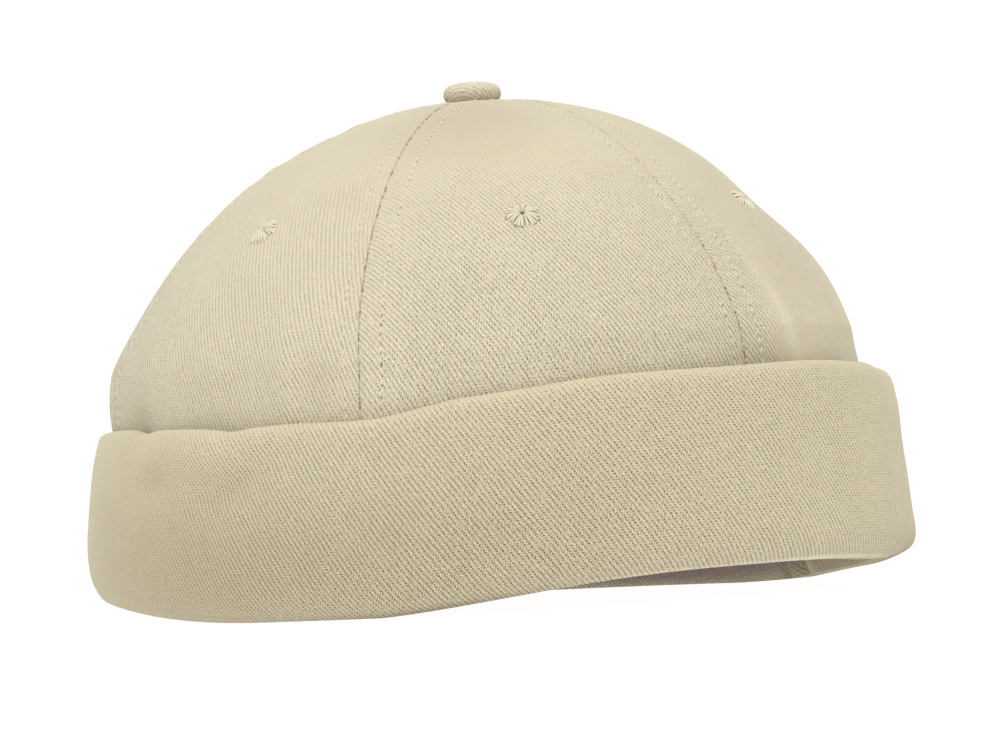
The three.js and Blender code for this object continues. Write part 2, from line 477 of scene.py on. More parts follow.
@dataclass(frozen=True)
class TwillFinish:
    """Matte cotton cloth in a twill of two over and one under.

    Upright threads lie side by side. Each floats over two cross threads and dips under the third,
    one cross thread lower than its left neighbour does, so the dips make slanting dotted valleys.
    A grain is how many millimetres across the lumps of a noise are. A least and a spread give the
    range that chance draws from.
    """

    name: str
    # The crest is the cloth's own colour; the valley colour is painted shade in the weave's dips.
    crest: Colour
    valley: Colour
    rib_wide: float = 1.23
    rib_tall: float = 2.32
    threads_in_rib: int = 3
    relief: float = 0.2
    contrast: float = 1.0
    middle_tone: float = 0.45
    open_light: float = 0.16
    dip_sharp: float = 7.0
    dip_deep: float = 0.95
    dip_least: float = 0.25
    dip_spread: float = 1.15
    rib_deep: float = 0.1
    shine_sharp: float = 4.0
    shine_light: float = 0.4
    shine_least: float = 0.3
    shine_spread: float = 0.7
    thread_light: float = 0.15
    fuzz: float = 1.9
    fuzz_grain: float = 0.26
    wear_grain: float = 3.0
    wear_least: float = 0.9
    wear_spread: float = 0.2
    wander: float = 0.45
    drift_grain: float = 9.0
    jitter_grain: float = 1.4
    jitter_share: float = 0.5
    mottle: float = 0.08
    mottle_grain: float = 16.0
    warm: Colour = (1.025, 0.985, 1.0)
    hue_grain: float = 2.2
    hue_from: float = 0.3
    hue_to: float = 0.7
    inside: Colour | None = None
    inside_dark: float = 0.5
    inside_from: float = -58.5
    inside_to: float = -55.0
    lint: Colour | None = None
    lint_grain: float = 0.6
    lint_ragged: float = 1.6
    lint_from: float = 0.55
    lint_to: float = 1.0
    roughness: float = 0.92
    specular: float = 0.18
    sheen: float = 0.25
    sheen_rough: float = 0.45
    sheen_tint: Colour = (0.97, 0.95, 0.78)

    def dips(
        self, graph: Graph, vector: bpy.types.NodeSocket, across: Value, along: Value
    ) -> tuple[Value, Value]:
        """Where the upright threads float and dip.

        The rise counts ribs up a thread, a third of a rib further on for each thread to the right.
        A thread dips where its rise is a whole number, each time to a depth of its own.

        Args:
            graph: the material's nodes.
            vector: the place on the cloth.
            across: millimetres across the threads.
            along: millimetres along them.

        Returns:
            The dips' depth, also painted as shade, and the floats' painted highlight, each about 0
            to 1.
        """
        thread = across * (self.threads_in_rib / self.rib_wide)
        strand = thread.floor()
        rise = along / self.rib_tall + strand / self.threads_in_rib
        between = rise + 0.5
        rounded = 1.0 - ((thread.fraction() - 0.5) * 2.0) ** 2.0
        deep = self.dip_least + self.dip_spread * graph.chance(strand, between.floor())
        dip = rise.wave() ** self.dip_sharp * rounded * deep
        rib = (along / self.rib_tall + across / self.rib_wide).wave()
        # Painted highlights: shine on the floats, and the rounded threads lighter in their middles.
        bright = self.shine_least + self.shine_spread * graph.chance(strand + 0.5, rise.floor())
        shine = between.wave() ** self.shine_sharp * bright
        worn = self.wear_least + self.wear_spread * graph.noise(vector, self.wear_grain, detail=3.0)
        fuzz = (graph.noise(vector, self.fuzz_grain, detail=0.0) - 0.5) * self.fuzz
        depth = (self.dip_deep * dip + self.rib_deep * rib) * worn
        return depth, rounded * (self.thread_light + self.shine_light * shine) + fuzz

    def colour(
        self, graph: Graph, vector: bpy.types.NodeSocket, along: Value, tone: Value
    ) -> bpy.types.NodeSocket:
        """The cloth's colour: painted shade in the valleys up to the crest, a darker inside, and
        lint.

        Args:
            graph: the material's nodes.
            vector: the place on the cloth.
            along: millimetres along the threads.
            tone: how light the cloth is, from 0 in a valley to 1 on a crest.

        Returns:
            The colour.
        """
        warm = np.array(self.warm)
        cool_crest, warm_crest = (tuple(np.array(self.crest) * tint) for tint in (2.0 - warm, warm))
        hue_noise = graph.noise(vector, self.hue_grain, detail=3.0)
        hue = graph.between(hue_noise, self.hue_from, self.hue_to)
        crest = graph.mix(hue, (*cool_crest, 1.0), (*warm_crest, 1.0))
        colour = graph.mix(tone, (*self.valley, 1.0), crest)
        # The inside is darker and pinker than the outside: a tint that is partly painted shade for
        # the cap's shaded inside.
        if self.inside:
            dark = tuple(self.inside_dark * level for level in self.inside)
            lining = graph.mix(tone, (*dark, 1.0), (*self.inside, 1.0))
            outside = graph.between(along, self.inside_from, self.inside_to)
            colour = graph.mix(outside, lining, colour)
        # Lint comes in where the stored painted light is highest, along the fold's lower edge.
        if self.lint:
            shake = (graph.noise(vector, self.lint_grain, detail=3.0) - 0.5) * self.lint_ragged
            linty = graph.between(graph.stored(PAINTED_LIGHT) + shake, self.lint_from, self.lint_to)
            colour = graph.mix(linty, colour, (*self.lint, 1.0))
        return colour

    def material(self) -> bpy.types.Material:
        """Builds the finish: thread dips and floats, painted shade and highlight, mottled colour,
        bump and sheen.

        Returns:
            The finished material.
        """
        graph = Graph(self.name)
        vector, across, along = graph.cloth()
        drift = (graph.noise(vector, self.drift_grain) - 0.5) * self.wander
        jitter = (graph.noise(vector, self.jitter_grain) - 0.5) * (self.jitter_share * self.wander)
        depth, lift = self.dips(graph, vector, across + drift + jitter, along + drift)
        crisp = self.contrast * graph.stored(CRISP)
        # open_light lifts the tone where the weave is deep, a painted lightening against its darker
        # look; crisp scales the painted shade too.
        height = self.middle_tone + (lift - depth + self.open_light) * crisp
        mottle = self.mottle * graph.noise(vector, self.mottle_grain, detail=4.0)
        # The mesh's stored painted light and shade is added to the tone.
        tone = height + mottle + graph.stored(PAINTED_LIGHT)
        return graph.surface({
            "Base Color": self.colour(graph, vector, along, tone),
            "Roughness": self.roughness,
            "Specular IOR Level": self.specular,
            "Sheen Weight": self.sheen,
            "Sheen Roughness": self.sheen_rough,
            "Sheen Tint": (*self.sheen_tint, 1.0),
            "Normal": graph.bump(height, self.relief),
        })


@dataclass(frozen=True)
class ThreadFinish:
    """Soft twisted sewing thread: slanting plies along its length, darker between them as painted
    shade.
    """

    name: str
    light: Colour
    dark: Colour
    plies: float = 2.0
    twist: float = 0.55
    relief: float = 0.06
    relief_share: float = 0.8
    ply_light: float = 0.7
    mottle: float = 0.5
    mottle_grain: float = 2.0
    roughness: float = 0.75
    specular: float = 0.25
    sheen: float = 0.3

    def material(self) -> bpy.types.Material:
        """Builds the finish: plies that slant round the thread, with a soft sheen.

        Returns:
            The finished material.
        """
        graph = Graph(self.name)
        vector, around, along = graph.cloth()
        ply = (along / self.twist + around * self.plies).wave()
        tone = ply * self.ply_light + graph.noise(vector, self.mottle_grain) * self.mottle
        return graph.surface({
            "Base Color": graph.mix(tone, (*self.dark, 1.0), (*self.light, 1.0)),
            "Roughness": self.roughness,
            "Specular IOR Level": self.specular,
            "Sheen Weight": self.sheen,
            "Normal": graph.bump(ply, self.relief, self.relief_share),
        })


@dataclass(frozen=True)
class FloorFinish:
    """A pale lit table: a matte sheet with a faint mottle that also glows softly from below."""

    name: str = "studio_floor"
    tone: float = 0.16
    mottle: float = 0.02
    mottle_scale: float = 30.0
    roughness: float = 0.9
    glow: float = 0.95

    def material(self) -> bpy.types.Material:
        """Builds the finish from Object coordinates.

        Returns:
            The finished material.
        """
        graph = Graph(self.name)
        where = graph.node("TexCoord").outputs["Object"]
        mottle = graph.node("TexNoise", inputs={"Vector": where, "Scale": self.mottle_scale})
        levels = (self.tone - self.mottle, self.tone + self.mottle)
        shades = [(level, level, level, 1.0) for level in levels]
        return graph.surface({
            "Base Color": graph.mix(Value(graph, mottle.outputs[0]), *shades),
            "Roughness": self.roughness,
            "Specular IOR Level": 0.0,
            "Emission Color": (1.0, 1.0, 1.0, 1.0),
            "Emission Strength": self.glow,
        })


# The cap's shape


@dataclass(frozen=True)
class RimLift:
    """A stretch of the rim that stands off the floor: its middle, half its length and its rise.

    The greater its power, the narrower its hump is.
    """

    angle: float
    half: float
    up: float
    power: float = 1.15


@dataclass(frozen=True)
class Swell:
    """A soft patch round an angle and a height that fades out over its spread and its tall.

    Its out is millimetres outwards where it shapes cloth, a hollow below 0. Where it tints cloth, it
    changes the weave's depth in some tables and paints light and shade in others, shade below 0.
    """

    angle: float
    height: float
    spread: float
    tall: float
    out: float
    slant: float = 0.0

    def push(self, angle: Numbers, height: Numbers) -> Numbers:
        """How far the patch pushes: a bell across times a bell up.

        Its middle turns by slant degrees for each millimetre of height.

        Args:
            angle: degrees round the cap.
            height: millimetres up.

        Returns:
            The push, of the shape that angle and height give together.
        """
        above = height - self.height
        middle = self.angle + self.slant * above
        return self.out * bell(turn_between(angle, middle), self.spread) * bell(above, self.tall)


@dataclass(frozen=True)
class Wave:
    """A place round the cuff where its edge leans out and stands higher, or in and lower below 0."""

    angle: float
    spread: float
    out: float
    up: float


RIM_LIFTS = (
    RimLift(angle=13, half=70, up=8.8),
    RimLift(angle=-126, half=34, up=2.6),
)

CUFF_LIFTS = (
    RimLift(angle=13, half=70, up=8.0),
    RimLift(angle=-24, half=34, up=1.3, power=2.0),
    RimLift(angle=28, half=26, up=-0.9, power=2.0),
    RimLift(angle=46, half=22, up=1.7, power=2.0),
    RimLift(angle=-130, half=54, up=5.6, power=2.0),
    RimLift(angle=72, half=26, up=1.5, power=2.0),
)

CROWN_SWELLS = (
    Swell(angle=-128, height=54, spread=35, tall=14, out=3.1),
    Swell(angle=-128, height=88, spread=35, tall=24, out=-1.0),
    Swell(angle=-68, height=66, spread=7, tall=16, out=1.0),
    Swell(angle=-82, height=64, spread=8, tall=15, out=-0.9),
    Swell(angle=52, height=94, spread=25, tall=9, out=-2.1),
    Swell(angle=50, height=79, spread=24, tall=9, out=0.5),
    Swell(angle=48, height=60, spread=20, tall=9, out=-1.3),
    Swell(angle=4, height=60, spread=12, tall=10, out=-1.0),
    Swell(angle=165, height=72, spread=22, tall=14, out=-1.3),
)

CROWN_FOLDS = (
    Swell(angle=-128, height=106, spread=42, tall=16, out=-0.9),
    Swell(angle=-105, height=121, spread=35, tall=9, out=-3.4),
    Swell(angle=-72.5, height=58, spread=2.2, tall=13, out=0.8),
    Swell(angle=-68.5, height=56, spread=2.6, tall=12, out=-0.7),
    Swell(angle=29, height=60, spread=2.4, tall=11, out=-1.2),
    Swell(angle=21, height=60, spread=4.5, tall=10, out=0.7),
    Swell(angle=-107, height=47, spread=5.0, tall=6, out=-1.2),
    Swell(angle=-32, height=48, spread=44, tall=9, out=1.3),
)

CUFF_DENTS = (
    Swell(angle=-75, height=36, spread=6.0, tall=8, out=-1.6, slant=1.0),
    Swell(angle=-86, height=41, spread=9.0, tall=5, out=1.3, slant=0.6),
    Swell(angle=-85, height=32, spread=12.0, tall=4, out=-1.1),
    Swell(angle=-94, height=33, spread=2.5, tall=5, out=-0.7, slant=0.5),
    Swell(angle=-100, height=44, spread=4.0, tall=4, out=-0.6),
    Swell(angle=-60, height=43, spread=8.0, tall=4, out=0.5),
    Swell(angle=-62, height=30, spread=9.0, tall=8, out=0.5),
    Swell(angle=-40, height=20, spread=12.0, tall=10, out=0.4),
    Swell(angle=10, height=26, spread=10.0, tall=10, out=-0.4),
    Swell(angle=55, height=5, spread=13.0, tall=5, out=1.5),
    Swell(angle=55, height=2.5, spread=14.0, tall=2.6, out=1.0),
    Swell(angle=52, height=31, spread=18.0, tall=9, out=-0.6),
    Swell(angle=-126, height=5, spread=16.0, tall=8, out=-1.0),
)

# Painted shade at the foot of the front seam, beside the left seam, in a dent low on the left, on
# the right panel and near the top, and a painted highlight along a fold on the right panel.
CROWN_PAINTED_LIGHT = (
    Swell(angle=3, height=50, spread=8, tall=6.5, out=-0.24),
    Swell(angle=-42, height=119, spread=24, tall=9, out=-0.13),
    Swell(angle=-66, height=56, spread=3.5, tall=7, out=-0.09),
    Swell(angle=24, height=80, spread=16, tall=30, out=-0.13),
    Swell(angle=10.5, height=60, spread=1.4, tall=16, out=0.12, slant=-0.12),
    Swell(angle=-95, height=56, spread=22, tall=12, out=-0.04),
    Swell(angle=-104, height=49, spread=3.5, tall=4, out=-0.09),
)

# Painted shade: darker towards the bottom on the left and front, in the dents on the left, under the
# fold at the right, on the right side, and along the bottom at the front left.
CUFF_PAINTED_SHADE = (
    Swell(angle=-76, height=12, spread=40, tall=18, out=-0.26),
    Swell(angle=-34, height=12, spread=24, tall=22, out=-0.08),
    Swell(angle=-77, height=33, spread=7, tall=6, out=-0.06, slant=1.0),
    Swell(angle=-95, height=34, spread=4, tall=4, out=-0.07),
    Swell(angle=95, height=0, spread=38, tall=7, out=-0.3),
    Swell(angle=60, height=0, spread=24, tall=3.0, out=-0.35),
    Swell(angle=44, height=16, spread=16, tall=22, out=-0.07),
    Swell(angle=-50, height=0, spread=14, tall=0.9, out=-0.5),
)

CUFF_CRISPS = (
    Swell(angle=42, height=0, spread=24, tall=8, out=0.22),
)

CUFF_LUMPS = (
    Swell(angle=84.5, height=3, spread=1.2, tall=8, out=1.0),
    Swell(angle=82.0, height=3, spread=1.6, tall=8, out=-1.4),
    Swell(angle=79.5, height=3, spread=0.9, tall=8, out=0.9),
    Swell(angle=76.0, height=3, spread=2.4, tall=7, out=-1.3),
)

# Painted shade inside the cuff at the right and back, and painted shade and highlight along the
# lumps of its inner seam.
LINING_PAINTED_LIGHT = (
    Swell(angle=108, height=0, spread=34, tall=4, out=-0.27),
    Swell(angle=84.8, height=3, spread=0.9, tall=9, out=-0.45),
    Swell(angle=79.8, height=3, spread=0.6, tall=9, out=-0.4),
    Swell(angle=77.5, height=3, spread=1.5, tall=7, out=0.4),
)

CUFF_WAVES = (
    Wave(angle=-128, spread=24, out=-0.6, up=-4.8),
    Wave(angle=-100, spread=3.5, out=0.0, up=-1.2),
    Wave(angle=-86, spread=5, out=0.3, up=0.4),
    Wave(angle=-80, spread=13, out=0.9, up=-0.5),
    Wave(angle=-79, spread=2.5, out=-0.3, up=-0.6),
    Wave(angle=-58, spread=9, out=-0.8, up=-0.2),
    Wave(angle=-28, spread=15, out=0.3, up=1.7),
    Wave(angle=-24, spread=20, out=0.0, up=-1.3),
    Wave(angle=13, spread=42, out=0.0, up=0.8),
    Wave(angle=28, spread=15, out=0.0, up=0.9),
    Wave(angle=39.5, spread=6.5, out=0.0, up=1.6),
    Wave(angle=46, spread=13, out=0.0, up=-1.5),
    Wave(angle=-4, spread=10, out=0.2, up=-0.2),
    Wave(angle=56, spread=24, out=1.5, up=-2.0),
    Wave(angle=47, spread=14, out=0.7, up=-2.6),
    Wave(angle=71, spread=15, out=0.0, up=-3.0),
    Wave(angle=-46, spread=8, out=0.0, up=1.2),
    Wave(angle=27, spread=4, out=0.2, up=0.5),
    Wave(angle=112, spread=18, out=-0.6, up=0.5),
    Wave(angle=172, spread=22, out=0.7, up=-0.5),
)


def rim_lift(angle: Numbers, lifts: tuple[RimLift, ...] = RIM_LIFTS) -> Numbers:
    """How far the rim stands off the floor: a raised cosine hump for each lift.

    Args:
        angle: degrees round the cap.
        lifts: the stretches that stand up.

    Returns:
        Millimetres up, of the same shape as angle.
    """
    height = np.zeros_like(angle, dtype=float)
    for lift in lifts:
        part = np.minimum(1.0, np.abs(turn_between(angle, lift.angle)) / lift.half)
        height = height + lift.up * np.cos(part * np.pi / 2) ** lift.power
    return height


@dataclass
class CrownForm:
    """The crown's outer surface, as a function of the angle round it and the way up it.

    The way up, along, runs from 0 at the lower edge to 1 at the middle of the top.
    """

    half_width: float = 87.0
    half_length: float = 98.2
    brow_height: float = 58.7
    shoulder_height: float = 67.3
    flat_reach: float = 0.68
    flat_height: float = 128.2
    top: float = 125.2
    lean_right: float = 3.9
    lean_back: float = 4.7
    skirt_low: float = 2.5
    skirt_flare: float = 5.6
    flare_power: float = 1.5
    skirt_share: float = 0.28
    cuff_reach: float = 40.0
    still_top: float = 2.5
    turn_step: float = 0.2
    way_step: float = 0.002

    def section(self, along: Numbers) -> tuple[Numbers, Numbers, Numbers]:
        """The crown's upright section.

        The skirt rises straight to the brow and flares inside the cuff. Above it a cubic curve
        runs from the brow over the shoulder to the flat top.

        Args:
            along: the way up the crown.

        Returns:
            The share of the full width, the height, and what the flare adds to the width.
        """
        up = np.clip(along / self.skirt_share, 0.0, 1.0)
        flare = self.skirt_flare * (1.0 - up) ** self.flare_power
        skirt = self.skirt_low + (self.brow_height - self.skirt_low) * up
        part = np.clip((along - self.skirt_share) / (1.0 - self.skirt_share), 0.0, 1.0)
        rest = 1.0 - part
        share = rest**3 + 3 * rest**2 * part + 3 * rest * part**2 * self.flat_reach
        dome = (
            rest**3 * self.brow_height
            + 3 * rest**2 * part * self.shoulder_height
            + 3 * rest * part**2 * self.flat_height
            + part**3 * self.top
        )
        return share, np.where(along < self.skirt_share, skirt, dome), flare

    def point(self, angle: Numbers, along: Numbers, more: Numbers | float = 0.0) -> Numbers:
        """Points of the outer surface: an oval section, pushed out by swells, leaning at the top.

        Args:
            angle: degrees round the crown.
            along: the way up the crown.
            more: millimetres to push out.

        Returns:
            Points of the same shape as angle, with x, y and z last.
        """
        share, height, flare = self.section(along)
        rise = np.maximum(0.0, (height - self.brow_height) / (self.top - self.brow_height))
        push = more
        for swell in CROWN_SWELLS + CROWN_FOLDS:
            push = push + swell.push(angle, height)
        out = flare + push * np.minimum(1.0, self.still_top * share)
        radians = np.radians(angle)
        x = (self.half_width * share + out) * np.sin(radians) + self.lean_right * rise**2
        y = -(self.half_length * share + out) * np.cos(radians) + self.lean_back * rise * (2 - rise)
        lift = rim_lift(angle)
        low = 1.0 - ease(height, self.skirt_low, self.cuff_reach)
        lift = lift + (rim_lift(angle, CUFF_LIFTS) - lift) * low
        z = height + lift * (1.0 - height / self.top)
        return np.stack(np.broadcast_arrays(x, y, z), axis=-1)

    def normal(self, angle: Numbers, along: Numbers) -> Numbers:
        """Outward unit normals, across small steps round and up the surface.

        Args:
            angle: degrees round the crown.
            along: the way up the crown.

        Returns:
            Normals of the same shape as angle, with x, y and z last.
        """
        low = np.maximum(along - self.way_step, 0.0)
        high = np.minimum(along + self.way_step, 1.0 - self.way_step)
        up_it = self.point(angle, high) - self.point(angle, low)
        return unit(np.cross(self.step_round(angle, along), up_it))

    def step_round(self, angle: Numbers, along: Numbers) -> Numbers:
        """A small step round the surface, from either side of an angle."""
        step = self.turn_step
        return self.point(angle + step, along) - self.point(angle - step, along)

    def span(self, along: Numbers, start: float, end: float, parts: int = 24) -> Numbers:
        """The length round the surface from one angle to another.

        Args:
            along: the ways up the crown.
            start: the first angle.
            end: the last angle.
            parts: how many straight parts measure it.

        Returns:
            Millimetres at each way up.
        """
        angles = np.linspace(start, end, parts + 1)[:, None]
        return run_length(self.point(angles, np.asarray(along)[None, :]))[-1]


@dataclass
class Seam:
    """How sewing shapes the cloth on each side of a seam.

    A seam changes from its low state to its high one between two ways up the crown.
    """

    row_after: float = 5.4
    row_before: float = 3.7
    pitch: float = 2.55
    groove_deep: float = 0.3
    groove_wide: float = 0.28
    ridge_high: float = 0.16
    ridge_from: float = 0.2
    ridge_full: float = 1.4
    ridge_ends_before: float = 0.8
    ridge_ends_after: float = 1.4
    dimple_deep: float = 0.26
    dimple_wide: float = 0.45
    dimple_least: float = 0.35
    pucker: float = 0.1
    pucker_wide: float = 3.2
    pucker_pitches: tuple[float, float] = (3.1, 4.7)
    pucker_shift: float = 1.3
    pull_after: float = 6.0
    pull_before: float = 2.0
    pull_reach: float = 5.2
    pull_low: float = 0.4
    draw_middle: float = 0.45
    draw_most: float = 1.1
    short_wave: float = 3.3
    short_swing: float = 0.45
    long_wave: float = 7.7
    long_swing: float = 0.35
    long_shift: float = 0.8
    low_until: float = 0.36
    high_from: float = 0.6

    def rise(self, up: Numbers) -> Numbers:
        """How far a seam has gone from its low state, 0, to its high one, 1."""
        return ease(up, self.low_until, self.high_from)

    def drawn(self, run: Numbers) -> Numbers:
        """How far a seam is drawn in: deep at some stitches and closed at others.

        A short and a long sine wave along the seam are added to the middle and clipped.

        Args:
            run: millimetres along the seam.

        Returns:
            The share of the groove's depth, from 0 to a little over 1.
        """
        short = np.sin(2 * np.pi * run / self.short_wave)
        long = np.sin(2 * np.pi * run / self.long_wave + self.long_shift)
        draw = self.draw_middle + self.short_swing * short + self.long_swing * long
        return np.clip(draw, 0.0, self.draw_most)

    def relief(self, away: Numbers, run: Numbers, row: float, tight: Numbers) -> Numbers:
        """How far the cloth stands out beside a seam.

        The cloth dives into the seam, stands up over the folded edges under it, dips at the row of
        stitches, deepest at each needle hole, and puckers softly outside the row.

        Args:
            away: millimetres from the seam.
            run: millimetres along the seam.
            row: millimetres from the seam to the row of stitches.
            tight: how hard the seam is drawn in, 0 where it is loose and 1 where it is firm.

        Returns:
            Millimetres outwards.
        """
        groove = -self.groove_deep * tight * self.drawn(run) * bell(away, self.groove_wide)
        ended = ease(away, row - self.ridge_ends_before, row + self.ridge_ends_after)
        ridge = self.ridge_high * ease(away, self.ridge_from, self.ridge_full) * (1.0 - ended)
        hole = 0.5 + 0.5 * np.cos(2 * np.pi * run / self.pitch)
        deep = self.dimple_least + (1.0 - self.dimple_least) * hole
        dimple = -self.dimple_deep * bell(away - row, self.dimple_wide) * deep
        slow, slower = (2 * np.pi * run / (times * self.pitch) for times in self.pucker_pitches)
        swing = np.sin(slow) + np.sin(slower + self.pucker_shift)
        pucker = self.pucker * swing * bell(away - row, self.pucker_wide)
        return groove + ridge + dimple + pucker

    def pulled(self, after: Numbers, before: Numbers, up: Numbers) -> Numbers:
        """How far sewing drags the cloth down, after one seam and before the next.

        The drag falls off as exp(-distance / reach), and only a share of it is left low down.

        Args:
            after: millimetres from the seam before.
            before: millimetres to the next seam.
            up: the way up the crown.

        Returns:
            Millimetres down.
        """
        share = self.pull_low + (1.0 - self.pull_low) * self.rise(up)
        first = self.pull_after * np.exp(-after / self.pull_reach)
        return share * (first + self.pull_before * np.exp(-before / self.pull_reach))


@dataclass
class Crown:
    """The six sewn panels of the crown.

    A panel's number picks how tight the seam before it is, low down and high up, and how deep its
    weave is. The panels that aren't named have a plain seam and a plain weave.
    """

    form: CrownForm
    seam: Seam
    finish: TwillFinish
    panels: int = 6
    cloth: float = 1.4
    bulge: float = 0.8
    across_power: int = 4
    up_power: float = 0.5
    tip_radius: float = 2.6
    gap: float = 0.05
    columns: int = 88
    rows: int = 264
    crowding: float = 0.86
    row_samples: int = 4000
    run_samples: int = 1500
    width_samples: int = 500
    sewn_from: float = 6.0
    sewn_full: float = 24.0
    plain_seam: float = 0.7
    tight: dict[int, tuple[float, float]] = field(default_factory=dict)
    pressed: float = 0.92
    pressed_from: float = 55.0
    pressed_to: float = 142.0
    ironed: float = 0.05
    ironed_short: float = 0.8
    ironed_past: float = 0.3
    shared: float = 0.8
    shared_from: float = 7.0
    shared_to: float = 15.0
    plain_weave: float = 0.67
    weave: dict[int, float] = field(default_factory=dict)

    @property
    def turn(self) -> float:
        """Degrees round the crown that one panel takes."""
        return 360.0 / self.panels

    def ways_up(self) -> Numbers:
        """The rows' places up the crown, an even distance apart.

        Returns:
            The ways up, from the lower edge to the panel's tip.
        """
        fine = np.linspace(0.0, 1.0, self.row_samples)
        share = self.form.section(fine)[0]
        reach = fine[share * self.form.half_width > self.tip_radius]
        length = run_length(self.form.point(np.zeros_like(reach), reach))
        return np.interp(np.linspace(0.0, length[-1], self.rows), length, reach)

    def ways_across(self) -> Numbers:
        """The columns' places across a panel, closer together beside the seams."""
        even = np.linspace(0.0, 1.0, self.columns)
        return even - self.crowding * np.sin(2 * np.pi * even) / (2 * np.pi)

    def seam_run(self, angle: float, up: Numbers) -> Numbers:
        """Millimetres along the crown at an angle, from its lower edge to each way up."""
        fine = np.linspace(0.0, 1.0, self.run_samples)
        return np.interp(up, fine, run_length(self.form.point(np.full_like(fine, angle), fine)))

    def tightness(self, number: int, up: Numbers) -> Numbers:
        """How hard the seam before a panel is drawn in, going from one value low down to another."""
        low, high = self.tight.get(number, (self.plain_seam, self.plain_seam))
        return low + (high - low) * self.seam.rise(up)

    def depth(self, number: int) -> float:
        """How deep a panel's weave is."""
        return self.weave.get(number, self.plain_weave)

    def width(self, number: int, up: Numbers) -> Numbers:
        """A panel's width.

        Args:
            number: the panel's number.
            up: the ways up the crown.

        Returns:
            Millimetres from seam to seam at each way up.
        """
        fine = np.linspace(0.0, 1.0, self.width_samples)
        start = self.turn * (number - 1)
        return np.interp(up, fine, self.form.span(fine, start, start + self.turn))

    def outer(self, number: int, side: Numbers, up: Numbers) -> tuple[Numbers, Numbers]:
        """The outer face of a panel: the crown's surface, bulged between seams and sewn at them.

        Args:
            number: the panel's number from 1, counted from the front seam towards +X.
            side: the way across the panel, from 0 to 1.
            up: the way up the crown.

        Returns:
            Points and outward normals.
        """
        start = self.turn * (number - 1)
        wide = self.width(number, up)
        trim = self.gap / 2 / wide
        angle = start + self.turn * (trim + (1 - 2 * trim) * side)
        flat = (2 * side - 1) ** self.across_power
        puff = self.bulge * (1 - flat) * np.sin(np.pi * up) ** self.up_power
        first, second = (self.tightness(n, up) for n in (number, number % self.panels + 1))
        left = self.seam.relief(side * wide, self.seam_run(start, up), self.seam.row_after, first)
        end = self.seam_run(start + self.turn, up)
        right = self.seam.relief((1 - side) * wide, end, self.seam.row_before, second)
        sewn = np.where(side <= 0.5, left, right) * ease(wide, self.sewn_from, self.sewn_full)
        normal = self.form.normal(angle, up)
        return self.form.point(angle, up, puff) + normal * sewn[..., None], normal

    def panel(self, number: int) -> GridMesh:
        """One panel as a closed wall of cloth.

        The inner sheet lies the cloth's thickness inside the outer one. Flat cloth places are the
        distance from the panel's middle line and the distance up it.

        Args:
            number: the panel's number.

        Returns:
            The panel's grid, a closed loop of outer and inner points in each row.
        """
        up, side = np.meshgrid(self.ways_up(), self.ways_across(), indexing="ij")
        outer, normal = self.outer(number, side, up)
        inner = outer - normal * self.cloth
        points = np.concatenate([outer, inner[:, ::-1]], axis=1)
        flat = self.flat(number, side, up)
        cloth = np.concatenate([flat, flat[:, ::-1], flat[:, :1]], axis=1)
        looks = self.looks(number, side, up)
        crisp, fade = (np.concatenate([look, look[:, ::-1]], axis=1)[None] for look in looks)
        return GridMesh(
            points[None],
            cloth[None],
            crisp,
            fade,
            joined_columns=True,
            capped=True,
            creased=(self.columns - 1, 2 * self.columns - 1),
        )

    def looks(self, number: int, side: Numbers, up: Numbers) -> tuple[Numbers, Numbers]:
        """How crisp the weave is, and the light and shade painted on the cloth.

        The weave has a depth of its own in each panel, which runs on a little past the next seam. It
        is smoother towards the top, where the cloth is pressed, and on the ironed strip from a seam
        to the row of stitches after it.

        Args:
            number: the panel's number.
            side: the way across the panel, from 0 to 1.
            up: the way up the crown.

        Returns:
            The weave's depth and the change of lightness.
        """
        run = self.seam_run(self.turn * (number - 0.5), up)
        away = side * self.width(number, up)
        row = self.seam.row_after
        strip = 1.0 - ease(away, row - self.ironed_short, row + self.ironed_past)
        own = self.depth(number)
        beside = self.depth((number - 2) % self.panels + 1)
        shared = 1.0 - ease(away, self.shared_from, self.shared_to)
        crisp = own + (beside - own) * self.shared * shared
        crisp = crisp * (1.0 - self.ironed * strip)
        crisp = crisp * (1.0 - self.pressed * ease(run, self.pressed_from, self.pressed_to))
        angle = self.turn * (number - 1 + side)
        height = self.form.section(up)[1]
        # The patches of painted light and shade.
        return crisp, sum(patch.push(angle, height) for patch in CROWN_PAINTED_LIGHT)

    def flat(self, number: int, side: Numbers, up: Numbers) -> Numbers:
        """Places on the flat cloth, dragged down beside the seams.

        Args:
            number: the panel's number.
            side: the way across the panel, from 0 to 1.
            up: the way up the crown.

        Returns:
            Millimetres from the panel's middle line and up it.
        """
        wide = self.width(number, up)
        run = self.seam_run(self.turn * (number - 0.5), up)
        pulled = self.seam.pulled(side * wide, (1 - side) * wide, up)
        return np.stack([(side - 0.5) * wide, run + pulled], axis=-1)

    def build(self) -> None:
        """Makes, dresses and seats the panels."""
        material = self.finish.material()
        for number in range(1, self.panels + 1):
            name = f"crown_panel_{number}"
            piece = make_piece(name + "_cloth", (self.panel(number), material))
            seat(piece, Slot.CROWN, name)


BEAD_RINGS = np.array([(0.7, -0.1), (1.0, 0.05), (0.6, 0.1)])
BEAD_SIDES = 6


